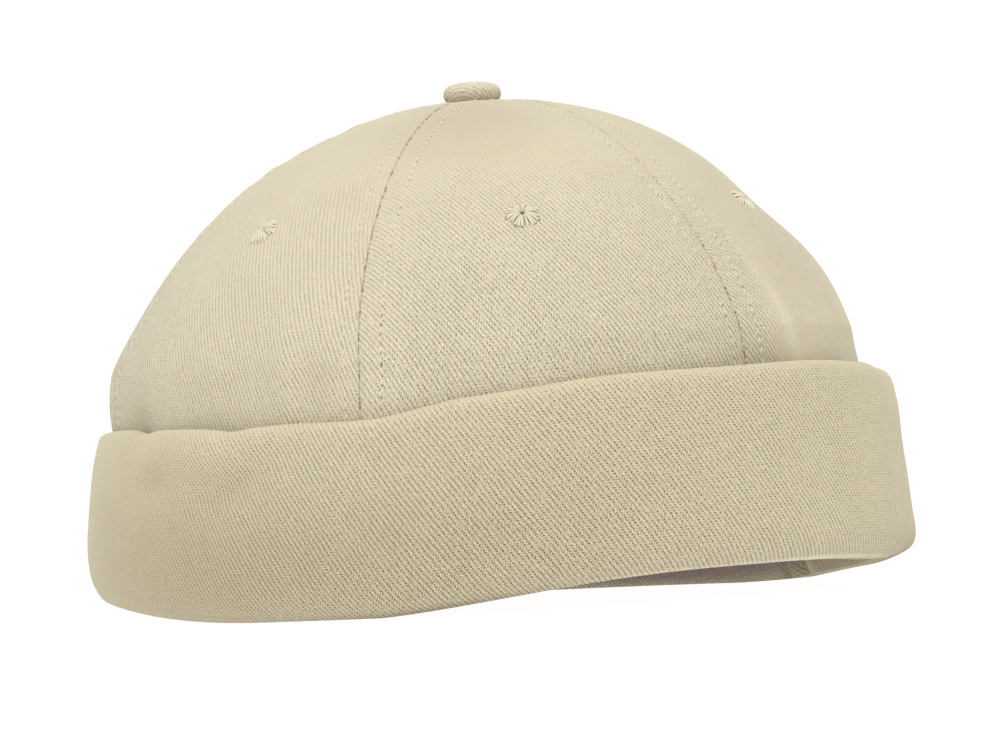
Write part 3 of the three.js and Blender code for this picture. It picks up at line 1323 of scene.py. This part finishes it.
def beads(centre: Numbers, normal: Numbers, size: Numbers, tall: float = 1.3) -> GridMesh:
    """Flat beads that lie in the cloth as small pits, three rings of points round each middle.

    Each of the bead's rings has a share of its size and a height in millimetres.

    Args:
        centre: the middle of each bead, one in each row.
        normal: the way out of the cloth there.
        size: half of each bead's width.
        tall: how many times as long as wide it is, up the cap.

    Returns:
        One closed bead for each pit.
    """
    across = unit(np.cross(normal, np.array([0.0, 0.0, 1.0])))
    along = np.cross(normal, across)
    phase = np.linspace(0.0, 2 * np.pi, BEAD_SIDES, endpoint=False)[:, None]
    ring = across[:, None] * np.cos(phase) + tall * along[:, None] * np.sin(phase)
    reach, rise = BEAD_RINGS.T
    points = (
        centre[:, None, None]
        + ring[:, None] * (size[:, None] * reach)[..., None, None]
        + normal[:, None, None] * rise[:, None, None]
    )
    cloth = np.zeros((len(points), len(rise), BEAD_SIDES + 1, 2))
    return GridMesh(points, cloth, joined_columns=True, capped=True)


@dataclass
class TopStitching:
    """The rows of stitches along both sides of each panel.

    The row by a panel's second seam is sunk deeper. Sizes of pits are drawn between two shares.
    """

    crown: Crown
    finish: ThreadFinish
    pit_finish: ThreadFinish
    low: float = 42.0
    button_clear: float = 11.0
    row_limit: float = 0.36
    stitch: float = 1.95
    thread: float = 0.235
    thread_end: float = 0.08
    lift: float = -0.01
    sunk: float = 0.07
    dive: float = 0.45
    dive_power: int = 4
    end_power: int = 6
    steps: int = 6
    sides: int = 6
    hole: float = 0.18
    hole_long: float = 2.0
    hole_shares: tuple[float, float] = (0.6, 1.1)
    sunk_hole: float = 0.6
    low_hole: float = 1.0
    low_from: float = 60.0
    low_to: float = 86.0
    dot: float = 0.27
    dot_pitch: float = 1.1
    dot_shake: float = 0.3
    dot_shares: tuple[float, float] = (0.5, 0.9)
    dot_least: float = 0.15
    dot_rise: float = 0.7
    seed: int = 31

    def sewn(self, number: int) -> tuple[Numbers, Numbers, float, float]:
        """The stretch of a seam that is sewn, from inside the cuff to the button.

        Args:
            number: the number of the panel after the seam.

        Returns:
            Ways up the crown, millimetres along the seam there, and where sewing starts and ends
            in millimetres along it.
        """
        crown = self.crown
        fine = np.linspace(0.0, 1.0, crown.run_samples)
        share, height, _ = crown.form.section(fine)
        run = crown.seam_run(crown.turn * (number - 1), fine)
        clear = share * crown.form.half_width > self.button_clear
        return fine, run, np.interp(self.low, height, run), np.max(run[clear])

    def row(self, number: int, side: int) -> tuple[Numbers, Numbers]:
        """The path of each stitch in the row along one side of a panel.

        Args:
            number: the panel's number.
            side: 0 for the row by the panel's first seam, 1 for the row by its second.

        Returns:
            Points and outward normals, each of shape (stitches, steps, 3).
        """
        crown, seam = self.crown, self.crown.seam
        fine, run, start, end = self.sewn(number + side)
        middle = (np.arange(np.ceil(start / seam.pitch), end / seam.pitch) + 0.5) * seam.pitch
        spread = np.linspace(-0.5, 0.5, self.steps) * self.stitch
        up = np.interp(middle[:, None] + spread, run, fine)
        row = seam.row_before if side else seam.row_after
        away = np.minimum(row / crown.width(number, up), self.row_limit)
        return crown.outer(number, np.abs(side - away), up)

    def threads(self, number: int) -> GridMesh:
        """The stitches on both sides of one panel, each a short round thread that arches a little.

        Args:
            number: the panel's number.

        Returns:
            One closed tube for each stitch.
        """
        rows = [self.row(number, side) for side in (0, 1)]
        cloth_path = np.concatenate([r[0] for r in rows])
        normal = np.concatenate([r[1] for r in rows])
        part = np.linspace(-1.0, 1.0, self.steps)
        sunk = np.repeat([0.0, self.sunk], [len(r[0]) for r in rows])
        height = self.lift - sunk[:, None] - self.dive * part**self.dive_power
        path = cloth_path + normal * height[..., None]
        way = unit(np.gradient(path, axis=1))
        beside = unit(np.cross(normal, way))
        thick = self.thread * np.sqrt(np.maximum(1.0 - part**self.end_power, self.thread_end))
        phase = np.linspace(0.0, 2 * np.pi, self.sides, endpoint=False)[:, None]
        ring = beside[:, :, None] * np.cos(phase) + normal[:, :, None] * np.sin(phase)
        points = path[:, :, None] + ring * thick[:, None, None]
        cloth = np.empty((len(path), self.steps, self.sides + 1, 2))
        cloth[..., 0] = np.linspace(0.0, 1.0, self.sides + 1)
        cloth[..., 1] = (part * self.stitch / 2)[:, None]
        return GridMesh(points, cloth, joined_columns=True, capped=True)

    def pits(self, number: int) -> GridMesh:
        """The small pits, dark with painted shade: needle holes in both rows, and dots where the
        first seam is drawn in.

        Args:
            number: the panel's number.

        Returns:
            One closed bead for each pit.
        """
        draw = np.random.default_rng(self.seed + number)
        crown, seam = self.crown, self.crown.seam
        rows = [self.row(number, side) for side in (0, 1)]
        centre = np.concatenate([r[0][:, 0] for r in rows])
        normal = np.concatenate([r[1][:, 0] for r in rows])
        hole = self.hole * np.repeat([1.0, self.sunk_hole], [len(r[0]) for r in rows])
        show = self.low_hole * crown.depth(number)
        hole = hole * (1.0 + show * (1.0 - ease(centre[:, 2], self.low_from, self.low_to)))
        hole = hole * draw.uniform(*self.hole_shares, len(hole))
        fine, run, start, end = self.sewn(number)
        spots = np.arange(start, end, self.dot_pitch)
        shake = draw.uniform(-self.dot_shake, self.dot_shake, len(spots))
        spots = spots + shake * self.dot_pitch
        spots = spots[seam.drawn(spots) > self.dot_least]
        up = np.interp(spots, run, fine)
        seam_point, seam_normal = crown.outer(number, np.zeros_like(up), up)
        raised = seam_point + seam_normal * (self.dot_rise * seam.groove_deep)
        dot = self.dot * crown.tightness(number, up) * draw.uniform(*self.dot_shares, len(spots))
        dot = dot * seam.drawn(spots)
        centre = np.concatenate([centre, raised])
        normal = np.concatenate([normal, seam_normal])
        return beads(centre, normal, np.concatenate([hole, dot]), self.hole_long)

    def build(self) -> None:
        """Makes, dresses and seats the stitches of each panel."""
        thread, shade = self.finish.material(), self.pit_finish.material()
        for number in range(1, self.crown.panels + 1):
            parts = (self.threads(number), thread), (self.pits(number), shade)
            seat(make_piece(f"seam_stitches_{number}", *parts), Slot.THREAD)


@dataclass
class Cuff:
    """The turned-up cuff: a folded band with a rolled top edge.

    A place on its section runs from 0 at the inner end to 1 at the roll, and a run is millimetres
    round the section from the middle of the roll, negative down the outer face.
    """

    form: CrownForm
    finish: TwillFinish
    cloth: float = 2.4
    roll: float = 4.4
    roll_from: float = 0.84
    roll_full: float = 0.97
    top: float = 46.3
    segments: int = 520
    steps: int = 76
    cap_steps: int = 9
    waves_from: float = 0.4
    lean_power: float = 1.5
    dents_from: float = 0.42
    dents_full: float = 0.56
    lumps_until: float = 0.3
    lumps_end: float = 0.45
    front: float = -31.0
    soft_sides: float = 0.86
    soft_full: float = 0.85
    roll_run: float = -2.0
    pressed: float = 0.62
    pressed_run: float = -5.5
    # A painted highlight along the roll, and along the fold's lower edge at the front a lint line
    # with a painted highlight.
    roll_highlight: float = 0.06
    roll_highlight_run: float = -7.5
    fold_lint_and_highlight: float = 1.0
    fold_line_front: float = -1.0
    fold_line_wide: float = 21.0
    fold_run: float = -49.6
    fold_tall: float = 0.7
    lining_run: float = -52.0
    lining_crisp: float = 1.2
    path: tuple[tuple[float, float], ...] = (
        (0.5, 14.5), (1.4, 6.5), (2.3, 2.3), (4.0, 0.6), (6.4, 0.8),
        (9.2, 3.6), (10.4, 9.0), (9.4, 22.0), (7.9, 36.0), (6.2, 44.1),
    )

    def middle(self, angle: Numbers) -> tuple[Numbers, Numbers]:
        """The middle line of the cloth in each upright section.

        A smooth curve through the path's points goes down the inside, round the fold and up the
        outside. The waves push its outer side out and up, more the higher it is. Dents shape the
        outer side, and lumps the inner one.

        Args:
            angle: degrees round the cap.

        Returns:
            Millimetres out and up, each of shape (angles, steps).
        """
        place = np.linspace(0.0, 1.0, self.steps)
        curve = through(np.array(self.path), place)
        outer = ease(place, self.dents_from, self.dents_full)
        inner = 1.0 - ease(place, self.lumps_until, self.lumps_end)
        reach = np.where(place > self.waves_from, curve[:, 1] / self.top, 0.0)
        out = np.repeat(curve[None, :, 0], len(angle), axis=0)
        up = np.repeat(curve[None, :, 1], len(angle), axis=0)
        for wave in CUFF_WAVES:
            near = bell(turn_between(angle, wave.angle), wave.spread)[:, None]
            out = out + wave.out * near * reach**self.lean_power
            up = up + wave.up * near * reach
        for dent in CUFF_DENTS:
            out = out + dent.push(angle[:, None], curve[:, 1]) * outer
        for lump in CUFF_LUMPS:
            out = out + lump.push(angle[:, None], curve[:, 1]) * inner
        return out, up

    def section(self, angle: Numbers) -> Numbers:
        """The closed outline of the cloth in each upright section.

        The outline runs half the thickness outside the middle line, round its end, and back the
        full thickness further in. Towards the top the cloth thickens into a soft roll, and both
        ends are half round.

        Args:
            angle: degrees round the cap.

        Returns:
            Millimetres out and up, of shape (angles, outline, 2).
        """
        line = np.stack(self.middle(angle), axis=-1)
        way = unit(np.gradient(line, axis=1))
        side = np.stack([way[..., 1], -way[..., 0]], axis=-1)
        place = np.linspace(0.0, 1.0, self.steps)[:, None]
        rolled = ease(place, self.roll_from, self.roll_full)
        thick = self.cloth + (self.roll - self.cloth) * rolled
        face = line + side * self.cloth / 2
        back = face - side * thick
        phase = np.linspace(0.0, np.pi, self.cap_steps + 2)[1:-1, None]
        over = side[:, -1:] * np.cos(phase) + way[:, -1:] * np.sin(phase)
        under = side[:, :1] * np.cos(phase) + way[:, :1] * np.sin(phase)
        top = (face + back)[:, -1:] / 2 + self.roll / 2 * over
        end = line[:, :1] - self.cloth / 2 * under
        return np.concatenate([face, top, back[:, ::-1], end], axis=1)

    def band(self) -> GridMesh:
        """The whole cuff: its section carried round the cap's oval, resting flat on the floor.

        Flat cloth places are the distance round the fold, and the distance round the section from
        the middle of the roll, which is negative down the outer face.

        Returns:
            A grid that is joined round the cap and round the section.
        """
        angle = np.linspace(360.0, 0.0, self.segments, endpoint=False)
        outline = self.section(angle)
        radians = np.radians(angle)[:, None]
        x = (self.form.half_width + outline[..., 0]) * np.sin(radians)
        y = -(self.form.half_length + outline[..., 0]) * np.cos(radians)
        z = np.maximum(0.0, outline[..., 1]) + rim_lift(angle, CUFF_LIFTS)[:, None]
        points = np.stack([x, y, z], axis=-1)
        fold = self.steps // 2
        around = run_length(np.concatenate([points[:, fold], points[:1, fold]]))
        ribs = np.round(around[-1] / self.finish.rib_wide)
        around = around * (ribs * self.finish.rib_wide / around[-1])
        loop = np.concatenate([outline, outline[:, :1]], axis=1)
        run = run_length(loop.swapaxes(0, 1)).T
        run = run - run[:, self.steps + self.cap_steps // 2, None]
        run = np.concatenate([run, run[:1]])
        cloth = np.stack([np.broadcast_to(-around[:, None], run.shape), run], axis=-1)
        looks = self.looks(angle[:, None], outline[..., 1], run[:-1, :-1])
        return GridMesh(points[None], cloth[None], *looks, joined_rows=True, joined_columns=True)

    def looks(self, angle: Numbers, height: Numbers, run: Numbers) -> tuple[Numbers, Numbers]:
        """How crisp the weave is, and the light and shade painted on the cloth.

        The weave is pressed smooth along the roll, which has a painted highlight, and at the front a
        pale lint line with a painted highlight runs along the fold. Patches of painted shade lie on
        the cuff, and of painted light and shade on its inside. The weave is softer at the sides than
        at the front and back, and deeper in the lining.

        Args:
            angle: degrees round the cap.
            height: millimetres above the fold.
            run: millimetres round the section from the middle of the roll.

        Returns:
            The weave's depth and the change of lightness, with one copy each.
        """
        beside = 1.0 - np.abs(np.cos(np.radians(angle - self.front)))
        crisp = 1.0 - self.soft_sides * ease(beside, 0.0, self.soft_full)
        crisp = crisp * (1.0 - self.pressed * ease(run, self.pressed_run, self.roll_run))
        # A painted highlight along the roll, and at the front a lint line with a painted highlight
        # along the fold.
        ahead = bell(turn_between(angle, self.fold_line_front), self.fold_line_wide)
        fold = bell(run - self.fold_run, self.fold_tall) * ahead
        fade = self.roll_highlight * ease(run, self.roll_highlight_run, self.roll_run) + self.fold_lint_and_highlight * fold
        lining = run < self.lining_run
        for patch in CUFF_CRISPS:
            crisp = crisp + patch.push(angle, height)
        crisp = crisp + self.lining_crisp * lining
        # Painted shade on the cuff, and painted light and shade on its inside.
        for patch in CUFF_PAINTED_SHADE:
            fade = fade + patch.push(angle, height)
        for patch in LINING_PAINTED_LIGHT:
            fade = fade + patch.push(angle, height) * lining
        return crisp[None], fade[None]

    def build(self) -> None:
        """Makes, dresses and seats the cuff."""
        piece = make_piece("cuff_cloth", (self.band(), self.finish.material()))
        seat(piece, Slot.CUFF, "cuff")


@dataclass
class TopButton:
    """The covered button: a flat dome with gathered sides.

    The gathers are spaced unevenly by two waves round the button, each with its swing, its count
    and its start in radians.
    """

    form: CrownForm
    finish: TwillFinish
    gap: float = 0.3
    pinhole: float = 0.05
    gathers: int = 26
    gather_deep: float = 0.22
    gather_middle: float = 1.2
    gather_tall: float = 1.4
    gather_from: float = 3.0
    gather_full: float = 6.5
    uneven: tuple[tuple[float, int, float], ...] = ((0.9, 5, 0.0), (0.6, 8, 1.0))
    shade: float = -0.2
    shade_middle: float = 0.5
    shade_tall: float = 1.6
    shade_from: float = 4.0
    shade_full: float = 6.5
    segments: int = 132
    steps: int = 46
    profile: tuple[tuple[float, float], ...] = (
        (0.05, 0.0), (5.6, 0.0), (6.6, 0.5), (7.1, 1.6),
        (7.1, 3.0), (6.1, 4.2), (3.6, 4.9), (0.05, 5.2),
    )

    def dome(self) -> GridMesh:
        """The button: its profile turned round, with gathers that die away over the dome and painted
        shade on its gathered side.

        Returns:
            A grid of rings from the underside to the top, joined round the button and filled at
            both ends.
        """
        place = np.linspace(0.0, 1.0, self.steps)
        curve = through(np.array(self.profile), place)
        reach = np.maximum(curve[:, :1], self.pinhole)
        up = np.maximum(curve[:, 1:], 0.0)
        angle = np.radians(np.linspace(0.0, 360.0, self.segments, endpoint=False))
        phase = self.gathers * angle
        for swing, count, start in self.uneven:
            phase = phase + swing * np.sin(count * angle + start)
        side = bell(up - self.gather_middle, self.gather_tall)
        side = side * ease(reach, self.gather_from, self.gather_full)
        reach = reach + self.gather_deep * np.sin(phase) * side
        x = reach * np.sin(angle) + self.form.lean_right
        y = -reach * np.cos(angle) + self.form.lean_back
        z = np.broadcast_to(up, reach.shape) + self.form.top + self.gap
        points = np.stack([x, y, z], axis=-1)
        run = (run_length(curve)[-1] - run_length(curve))[:, None]
        closed = np.append(angle, 2 * np.pi)
        cloth = np.stack([run * np.sin(closed), -run * np.cos(closed)], axis=-1)
        shade = self.shade * bell(up - self.shade_middle, self.shade_tall)
        fade = shade * ease(reach, self.shade_from, self.shade_full)
        return GridMesh(points[None], cloth[None], fade=fade[None], joined_columns=True, capped=True)

    def build(self) -> None:
        """Makes, dresses and seats the button."""
        piece = make_piece("top_button_cloth", (self.dome(), self.finish.material()))
        seat(piece, Slot.BUTTON, "top_button")


@dataclass(frozen=True)
class EyeletPlace:
    """Where one panel's eyelet sits: the turn from its middle and the way up its dome.

    It also tells how hard the eyelet's stitches are drawn in, from 0 to 1.
    """

    panel: int
    turn: float
    rise: float
    drawn: float = 0.6


EYELET_PLACES = (
    EyeletPlace(panel=1, turn=-5.2, rise=0.47, drawn=0.1),
    EyeletPlace(panel=2, turn=0.0, rise=0.46),
    EyeletPlace(panel=3, turn=0.0, rise=0.46),
    EyeletPlace(panel=4, turn=0.0, rise=0.46),
    EyeletPlace(panel=5, turn=4.6, rise=0.47),
    EyeletPlace(panel=6, turn=-2.1, rise=0.45, drawn=1.0),
)


@dataclass
class Eyelets:
    """The sewn eyelets: stitches that run out from a small hole in each panel.

    A profile is turned round an eyelet's middle, from low to high. Its points are millimetres out
    from the middle and up from the cloth.
    """

    crown: Crown
    finish: ThreadFinish
    # The second and third finishes are dark colours of painted shade: under the stitches, in the
    # needle holes and in the hole.
    bed_shade: ThreadFinish
    pit_finish: ThreadFinish
    stitches: int = 27
    shake: float = 0.3
    hole: float = 0.2
    reach: float = 3.9
    uneven: float = 0.6
    droop: float = 0.6
    crest: float = 0.62
    loose_crest: float = 0.55
    arch_from: float = -0.02
    arch_to: float = 1.06
    arch_power: float = 0.65
    hole_dive: float = 1.1
    hole_power: int = 12
    end_dive: float = 0.4
    end_power: int = 9
    thread_grows: float = 0.08
    thread_wide: float = 0.33
    wide_start: float = 0.05
    thread_high: float = 0.24
    high_start: float = 0.12
    end_wide: float = 0.4
    end_deep: float = 0.03
    end_short: float = 0.15
    end_shares: tuple[float, float] = (0.2, 1.0)
    end_middle: float = 0.45
    end_below: float = 0.8
    end_least: float = 0.1
    steps: int = 10
    sides: int = 8
    turned_sides: int = 28
    seed: int = 7
    bed_profile: tuple[tuple[float, float], ...] = (
        (0.05, -0.95), (1.8, -0.7), (2.9, -0.2), (2.7, 0.1),
        (2.0, 0.2), (1.1, 0.1), (0.5, 0.06), (0.05, 0.05),
    )
    pit_profile: tuple[tuple[float, float], ...] = (
        (0.05, -0.3), (0.5, -0.1), (0.5, 0.16), (0.05, 0.2),
    )

    def axes(self, place: EyeletPlace) -> tuple[Numbers, Numbers]:
        """Where an eyelet lies on its panel.

        Args:
            place: where it sits.

        Returns:
            Its middle, and its right, up and out directions as rows.
        """
        form = self.crown.form
        angle = np.array(self.crown.turn * (place.panel - 0.5) + place.turn)
        along = np.array(form.skirt_share + place.rise * (1 - form.skirt_share))
        normal = form.normal(angle, along)
        right = unit(form.step_round(angle, along))
        centre = form.point(angle, along, self.crown.bulge)
        return centre, np.stack([right, np.cross(normal, right), normal])

    def spokes(self, place: EyeletPlace) -> tuple[Numbers, Numbers]:
        """The stitches of an eyelet, which reach further below the hole.

        Args:
            place: where it sits.

        Returns:
            Each stitch's direction in radians, and how many millimetres out it reaches.
        """
        draw = np.random.default_rng(self.seed + place.panel)
        shake = draw.uniform(-self.shake, self.shake, self.stitches)
        phase = 2 * np.pi * (np.arange(self.stitches) + shake) / self.stitches
        uneven = draw.uniform(-self.uneven, self.uneven, self.stitches)
        return phase, self.reach + uneven - self.droop * np.sin(phase)

    def ends(self, place: EyeletPlace) -> GridMesh:
        """The needle holes where an eyelet's stitches dive into the cloth, as beads dark with
        painted shade.

        Their sizes are uneven, and larger below the hole.

        Args:
            place: where it sits.

        Returns:
            One closed bead for each stitch.
        """
        centre, (right, upward, normal) = self.axes(place)
        phase, far = self.spokes(place)
        outward = np.cos(phase)[:, None] * right + np.sin(phase)[:, None] * upward
        spot = centre + outward * (far - self.end_short)[:, None] - normal * self.end_deep
        size = np.random.default_rng(place.panel).uniform(*self.end_shares, len(far))
        below = np.clip(self.end_middle - self.end_below * np.sin(phase), self.end_least, 1.0)
        size = size * self.end_wide * place.drawn * below
        return beads(spot, np.broadcast_to(normal, spot.shape), size)

    def ring(self, place: EyeletPlace) -> GridMesh:
        """One eyelet: soft threads that rise out of the hole, arch over its edge and dive outside.

        Args:
            place: where it sits.

        Returns:
            One closed tube for each stitch.
        """
        centre, (right, upward, normal) = self.axes(place)
        phase, far = self.spokes(place)
        part = np.linspace(0.0, 1.0, self.steps)
        radius = self.hole + (far[:, None] - self.hole) * part
        along = self.arch_from + part * (self.arch_to - self.arch_from)
        arch = np.sin(np.pi * np.clip(along, 0.0, 1.0)) ** self.arch_power
        crest = self.crest * (self.loose_crest + (1.0 - self.loose_crest) * place.drawn)
        into_hole = self.hole_dive * (1 - part) ** self.hole_power
        height = crest * arch - into_hole - self.end_dive * part**self.end_power
        outward = np.cos(phase)[:, None] * right + np.sin(phase)[:, None] * upward
        beside = -np.sin(phase)[:, None] * right + np.cos(phase)[:, None] * upward
        path = centre + outward[:, None] * radius[..., None] + normal * height[..., None]
        wide = np.minimum(self.wide_start + self.thread_grows * radius, self.thread_wide)
        thick = np.minimum(self.high_start + self.thread_grows * radius, self.thread_high)
        around = np.linspace(0.0, 2 * np.pi, self.sides, endpoint=False)
        spread = (wide[..., None] * np.cos(around))[..., None] * beside[:, None, None]
        rise = (thick[..., None] * np.sin(around))[..., None] * normal
        cloth = np.empty((self.stitches, self.steps, self.sides + 1, 2))
        cloth[..., 0] = np.linspace(0.0, 1.0, self.sides + 1)
        cloth[..., 1] = radius[..., None]
        return GridMesh(path[:, :, None] + spread + rise, cloth, joined_columns=True, capped=True)

    def bed(self, place: EyeletPlace) -> GridMesh:
        """The shaded cloth under the stitches: a low round cushion with a dip at the hole."""
        return self.turned(place, np.array(self.bed_profile))

    def pit(self, place: EyeletPlace) -> GridMesh:
        """The hole in an eyelet's middle, as a small round bead dark with painted shade."""
        return self.turned(place, np.array(self.pit_profile))

    def turned(self, place: EyeletPlace, profile: Numbers) -> GridMesh:
        """A profile turned round an eyelet's middle.

        Args:
            place: where the eyelet sits.
            profile: millimetres out from the middle and up from the cloth, from low to high.

        Returns:
            A closed grid of rings, joined round the eyelet and filled at both ends.
        """
        centre, (right, upward, normal) = self.axes(place)
        around = np.linspace(0.0, 2 * np.pi, self.turned_sides, endpoint=False)[:, None]
        outward = np.cos(around) * right + np.sin(around) * upward
        points = centre + outward * profile[:, None, :1] + normal * profile[:, None, 1:]
        cloth = np.zeros((len(profile), self.turned_sides + 1, 2))
        cloth[..., 1] = profile[:, :1]
        return GridMesh(points[None], cloth[None], joined_columns=True, capped=True)

    def build(self) -> None:
        """Makes, dresses and seats the eyelets.

        Only a fully drawn one has a bed of painted shade and a hole of the darkest painted shade.
        """
        thread = self.finish.material()
        shade = self.bed_shade.material()
        hole = self.pit_finish.material()
        for place in EYELET_PLACES:
            name = f"eyelet_{place.panel}"
            bed, dark = (shade, hole) if place.drawn == 1.0 else (thread, shade)
            piece = make_piece(
                name + "_threads",
                (self.ring(place), thread),
                (self.bed(place), bed),
                (self.pit(place), dark),
                (self.ends(place), dark),
            )
            seat(piece, Slot.THREAD, name)


# The studio


@dataclass(frozen=True)
class SoftLight:
    """A square soft light: where it stands in metres, its size, its power in watts and its tint."""

    name: str
    place: tuple[float, float, float]
    size: float
    power: float
    tint: Colour = (1.0, 1.0, 1.0)


@dataclass
class Studio:
    """Floor, light and camera.

    The camera's measures and the floor's drop are in millimetres, and the floor's half width and
    the lights' places and aim in metres. The lights' level is a direction that no light lies along,
    to turn their squares by.
    """

    aim: tuple[float, float, float] = (2.68, -2.29, 58.40)
    azimuth: float = -38.11
    elevation: float = -1.33
    roll: float = -3.045
    distance: float = 1200.0
    lens: float = 172.8
    sensor: float = 36.0
    floor_half: float = 1.6
    floor_points: int = 9
    floor_drop: float = 0.15
    light_aim: tuple[float, float, float] = (0.0, 0.0, 0.06)
    light_level: tuple[float, float, float] = (0.0, 1.0, 0.001)
    backdrop: float = 1.05
    sky: float = 0.62
    lights: tuple[SoftLight, ...] = (
        SoftLight("key_light", (-1.6, -2.1, 1.2), 1.8, 36.0),
        SoftLight("top_light", (0.0, 0.0, 2.4), 2.4, 27.0),
        SoftLight("left_light", (-2.3, 0.8, 1.1), 1.6, 8.0, (0.86, 1.0, 1.0)),
        SoftLight("right_light", (2.3, -1.0, 1.1), 1.6, 9.0, (0.8, 1.0, 0.82)),
    )

    def axes(self) -> Numbers:
        """The camera's directions.

        Returns:
            Its right, up and back directions as rows.
        """
        turn, lift, roll = np.radians([self.azimuth, self.elevation, self.roll])
        back = np.array([np.sin(turn) * np.cos(lift), -np.cos(turn) * np.cos(lift), np.sin(lift)])
        right = np.array([np.cos(turn), np.sin(turn), 0.0])
        upward = np.cross(back, right)
        rolled_right = np.cos(roll) * right + np.sin(roll) * upward
        rolled_up = -np.sin(roll) * right + np.cos(roll) * upward
        return np.stack([rolled_right, rolled_up, back])

    def camera(self) -> None:
        """Places the camera on its line of sight to the aim."""
        data = bpy.data.cameras.new("camera")
        data.lens = self.lens
        data.sensor_width = self.sensor
        axes = self.axes()
        place = np.eye(4)
        place[:3, :3] = axes.T
        place[:3, 3] = (np.array(self.aim) + axes[2] * self.distance) * MM
        camera = bpy.data.objects.new("camera", data)
        camera.matrix_world = place.T
        bpy.context.collection.objects.link(camera)
        bpy.context.scene.camera = camera

    def floor(self) -> None:
        """Lays a flat floor just under the cap."""
        half = self.floor_half / MM
        side = np.linspace(-half, half, self.floor_points)
        x, y = np.meshgrid(side, side, indexing="xy")
        points = np.stack([x, y, np.full_like(x, -self.floor_drop)], axis=-1)
        grid = GridMesh(points[None], points[None, ..., :2])
        make_piece("floor", (grid, FloorFinish().material()))

    def light(self) -> None:
        """Hangs the soft lights, aimed at the cap."""
        for soft in self.lights:
            data = bpy.data.lights.new(soft.name, "AREA")
            data.size = soft.size
            data.energy = soft.power
            data.color = soft.tint
            back = unit(np.array(soft.place) - np.array(self.light_aim))
            right = unit(np.cross(np.array(self.light_level), back))
            place = np.eye(4)
            place[:3, :3] = np.stack([right, np.cross(back, right), back], axis=1)
            place[:3, 3] = soft.place
            lamp = bpy.data.objects.new(soft.name, data)
            lamp.matrix_world = place.T
            bpy.context.collection.objects.link(lamp)

    def room(self) -> None:
        """A pale room: white to look at, and dimmer as a light."""
        world = bpy.data.worlds.new("pale_room")
        world.use_nodes = True
        nodes = world.node_tree.nodes
        links = world.node_tree.links
        nodes.clear()
        seen = nodes.new("ShaderNodeBackground")
        seen.inputs["Strength"].default_value = self.backdrop
        glow = nodes.new("ShaderNodeBackground")
        glow.inputs["Strength"].default_value = self.sky
        for part in (seen, glow):
            part.inputs["Color"].default_value = (1.0, 1.0, 1.0, 1.0)
        ray = nodes.new("ShaderNodeLightPath")
        mix = nodes.new("ShaderNodeMixShader")
        output = nodes.new("ShaderNodeOutputWorld")
        links.new(ray.outputs["Is Camera Ray"], mix.inputs[0])
        links.new(glow.outputs[0], mix.inputs[1])
        links.new(seen.outputs[0], mix.inputs[2])
        links.new(mix.outputs[0], output.inputs["Surface"])
        scene = bpy.context.scene
        scene.world = world
        scene.view_settings.view_transform = "Standard"

    def build(self) -> None:
        """Sets up the camera, the floor, the lights and the room."""
        self.camera()
        self.floor()
        self.light()
        self.room()
        LOG.info("studio: floor, %d soft lights, camera", len(self.lights))


def main() -> None:
    """Builds the studio and the cap in order."""
    logging.basicConfig(level=logging.INFO, format="%(name)s %(message)s")
    # Each twill's valley colour is painted shade in the weave's dips.
    twill = TwillFinish(
        "crown_twill",
        crest=(0.82, 0.748, 0.567),
        valley=(0.29, 0.225, 0.145),
        contrast=0.9,
    )
    cuff_twill = TwillFinish(
        "cuff_twill",
        crest=(0.765, 0.682, 0.49),
        valley=(0.25, 0.19, 0.11),
        rib_wide=1.31,
        rib_tall=1.94,
        contrast=0.84,
        fuzz=1.7,
        dip_sharp=18.0,
        dip_deep=1.65,
        open_light=0.17,
        # The inside colour is darker and pinker than the cloth, partly painted shade.
        inside=(0.455, 0.335, 0.305),
        lint=(0.80, 0.71, 0.66),
    )
    button_twill = TwillFinish(
        "button_twill",
        crest=(0.82, 0.745, 0.59),
        valley=(0.30, 0.24, 0.16),
        relief=0.12,
        contrast=0.5,
        fuzz=0.5,
        dip_sharp=5.0,
    )
    # The needle hole, eyelet bed and eyelet hole colours are painted shade for pits, gaps between
    # stitches and the eyelet's hole.
    seam_thread = ThreadFinish("seam_thread", light=(0.74, 0.675, 0.525), dark=(0.60, 0.535, 0.40))
    needle_hole = ThreadFinish("needle_hole", light=(0.22, 0.175, 0.115), dark=(0.16, 0.125, 0.08))
    eyelet_thread = ThreadFinish("eyelet_thread", light=(0.75, 0.68, 0.525), dark=(0.60, 0.53, 0.40))
    eyelet_bed_shade = ThreadFinish("eyelet_bed_shade", light=(0.50, 0.43, 0.31), dark=(0.39, 0.33, 0.23))
    eyelet_hole = ThreadFinish("eyelet_hole", light=(0.17, 0.13, 0.09), dark=(0.12, 0.09, 0.06))
    form = CrownForm()
    Studio().build()
    crown = Crown(
        form,
        Seam(),
        twill,
        tight={1: (1.1, 0.3), 6: (0.9, 1.0)},
        weave={1: 0.3, 6: 1.0},
    )
    crown.build()
    TopStitching(crown, seam_thread, needle_hole).build()
    Cuff(form, cuff_twill).build()
    TopButton(form, button_twill).build()
    Eyelets(crown, eyelet_thread, eyelet_bed_shade, eyelet_hole).build()


if __name__ == "__main__":
    main()
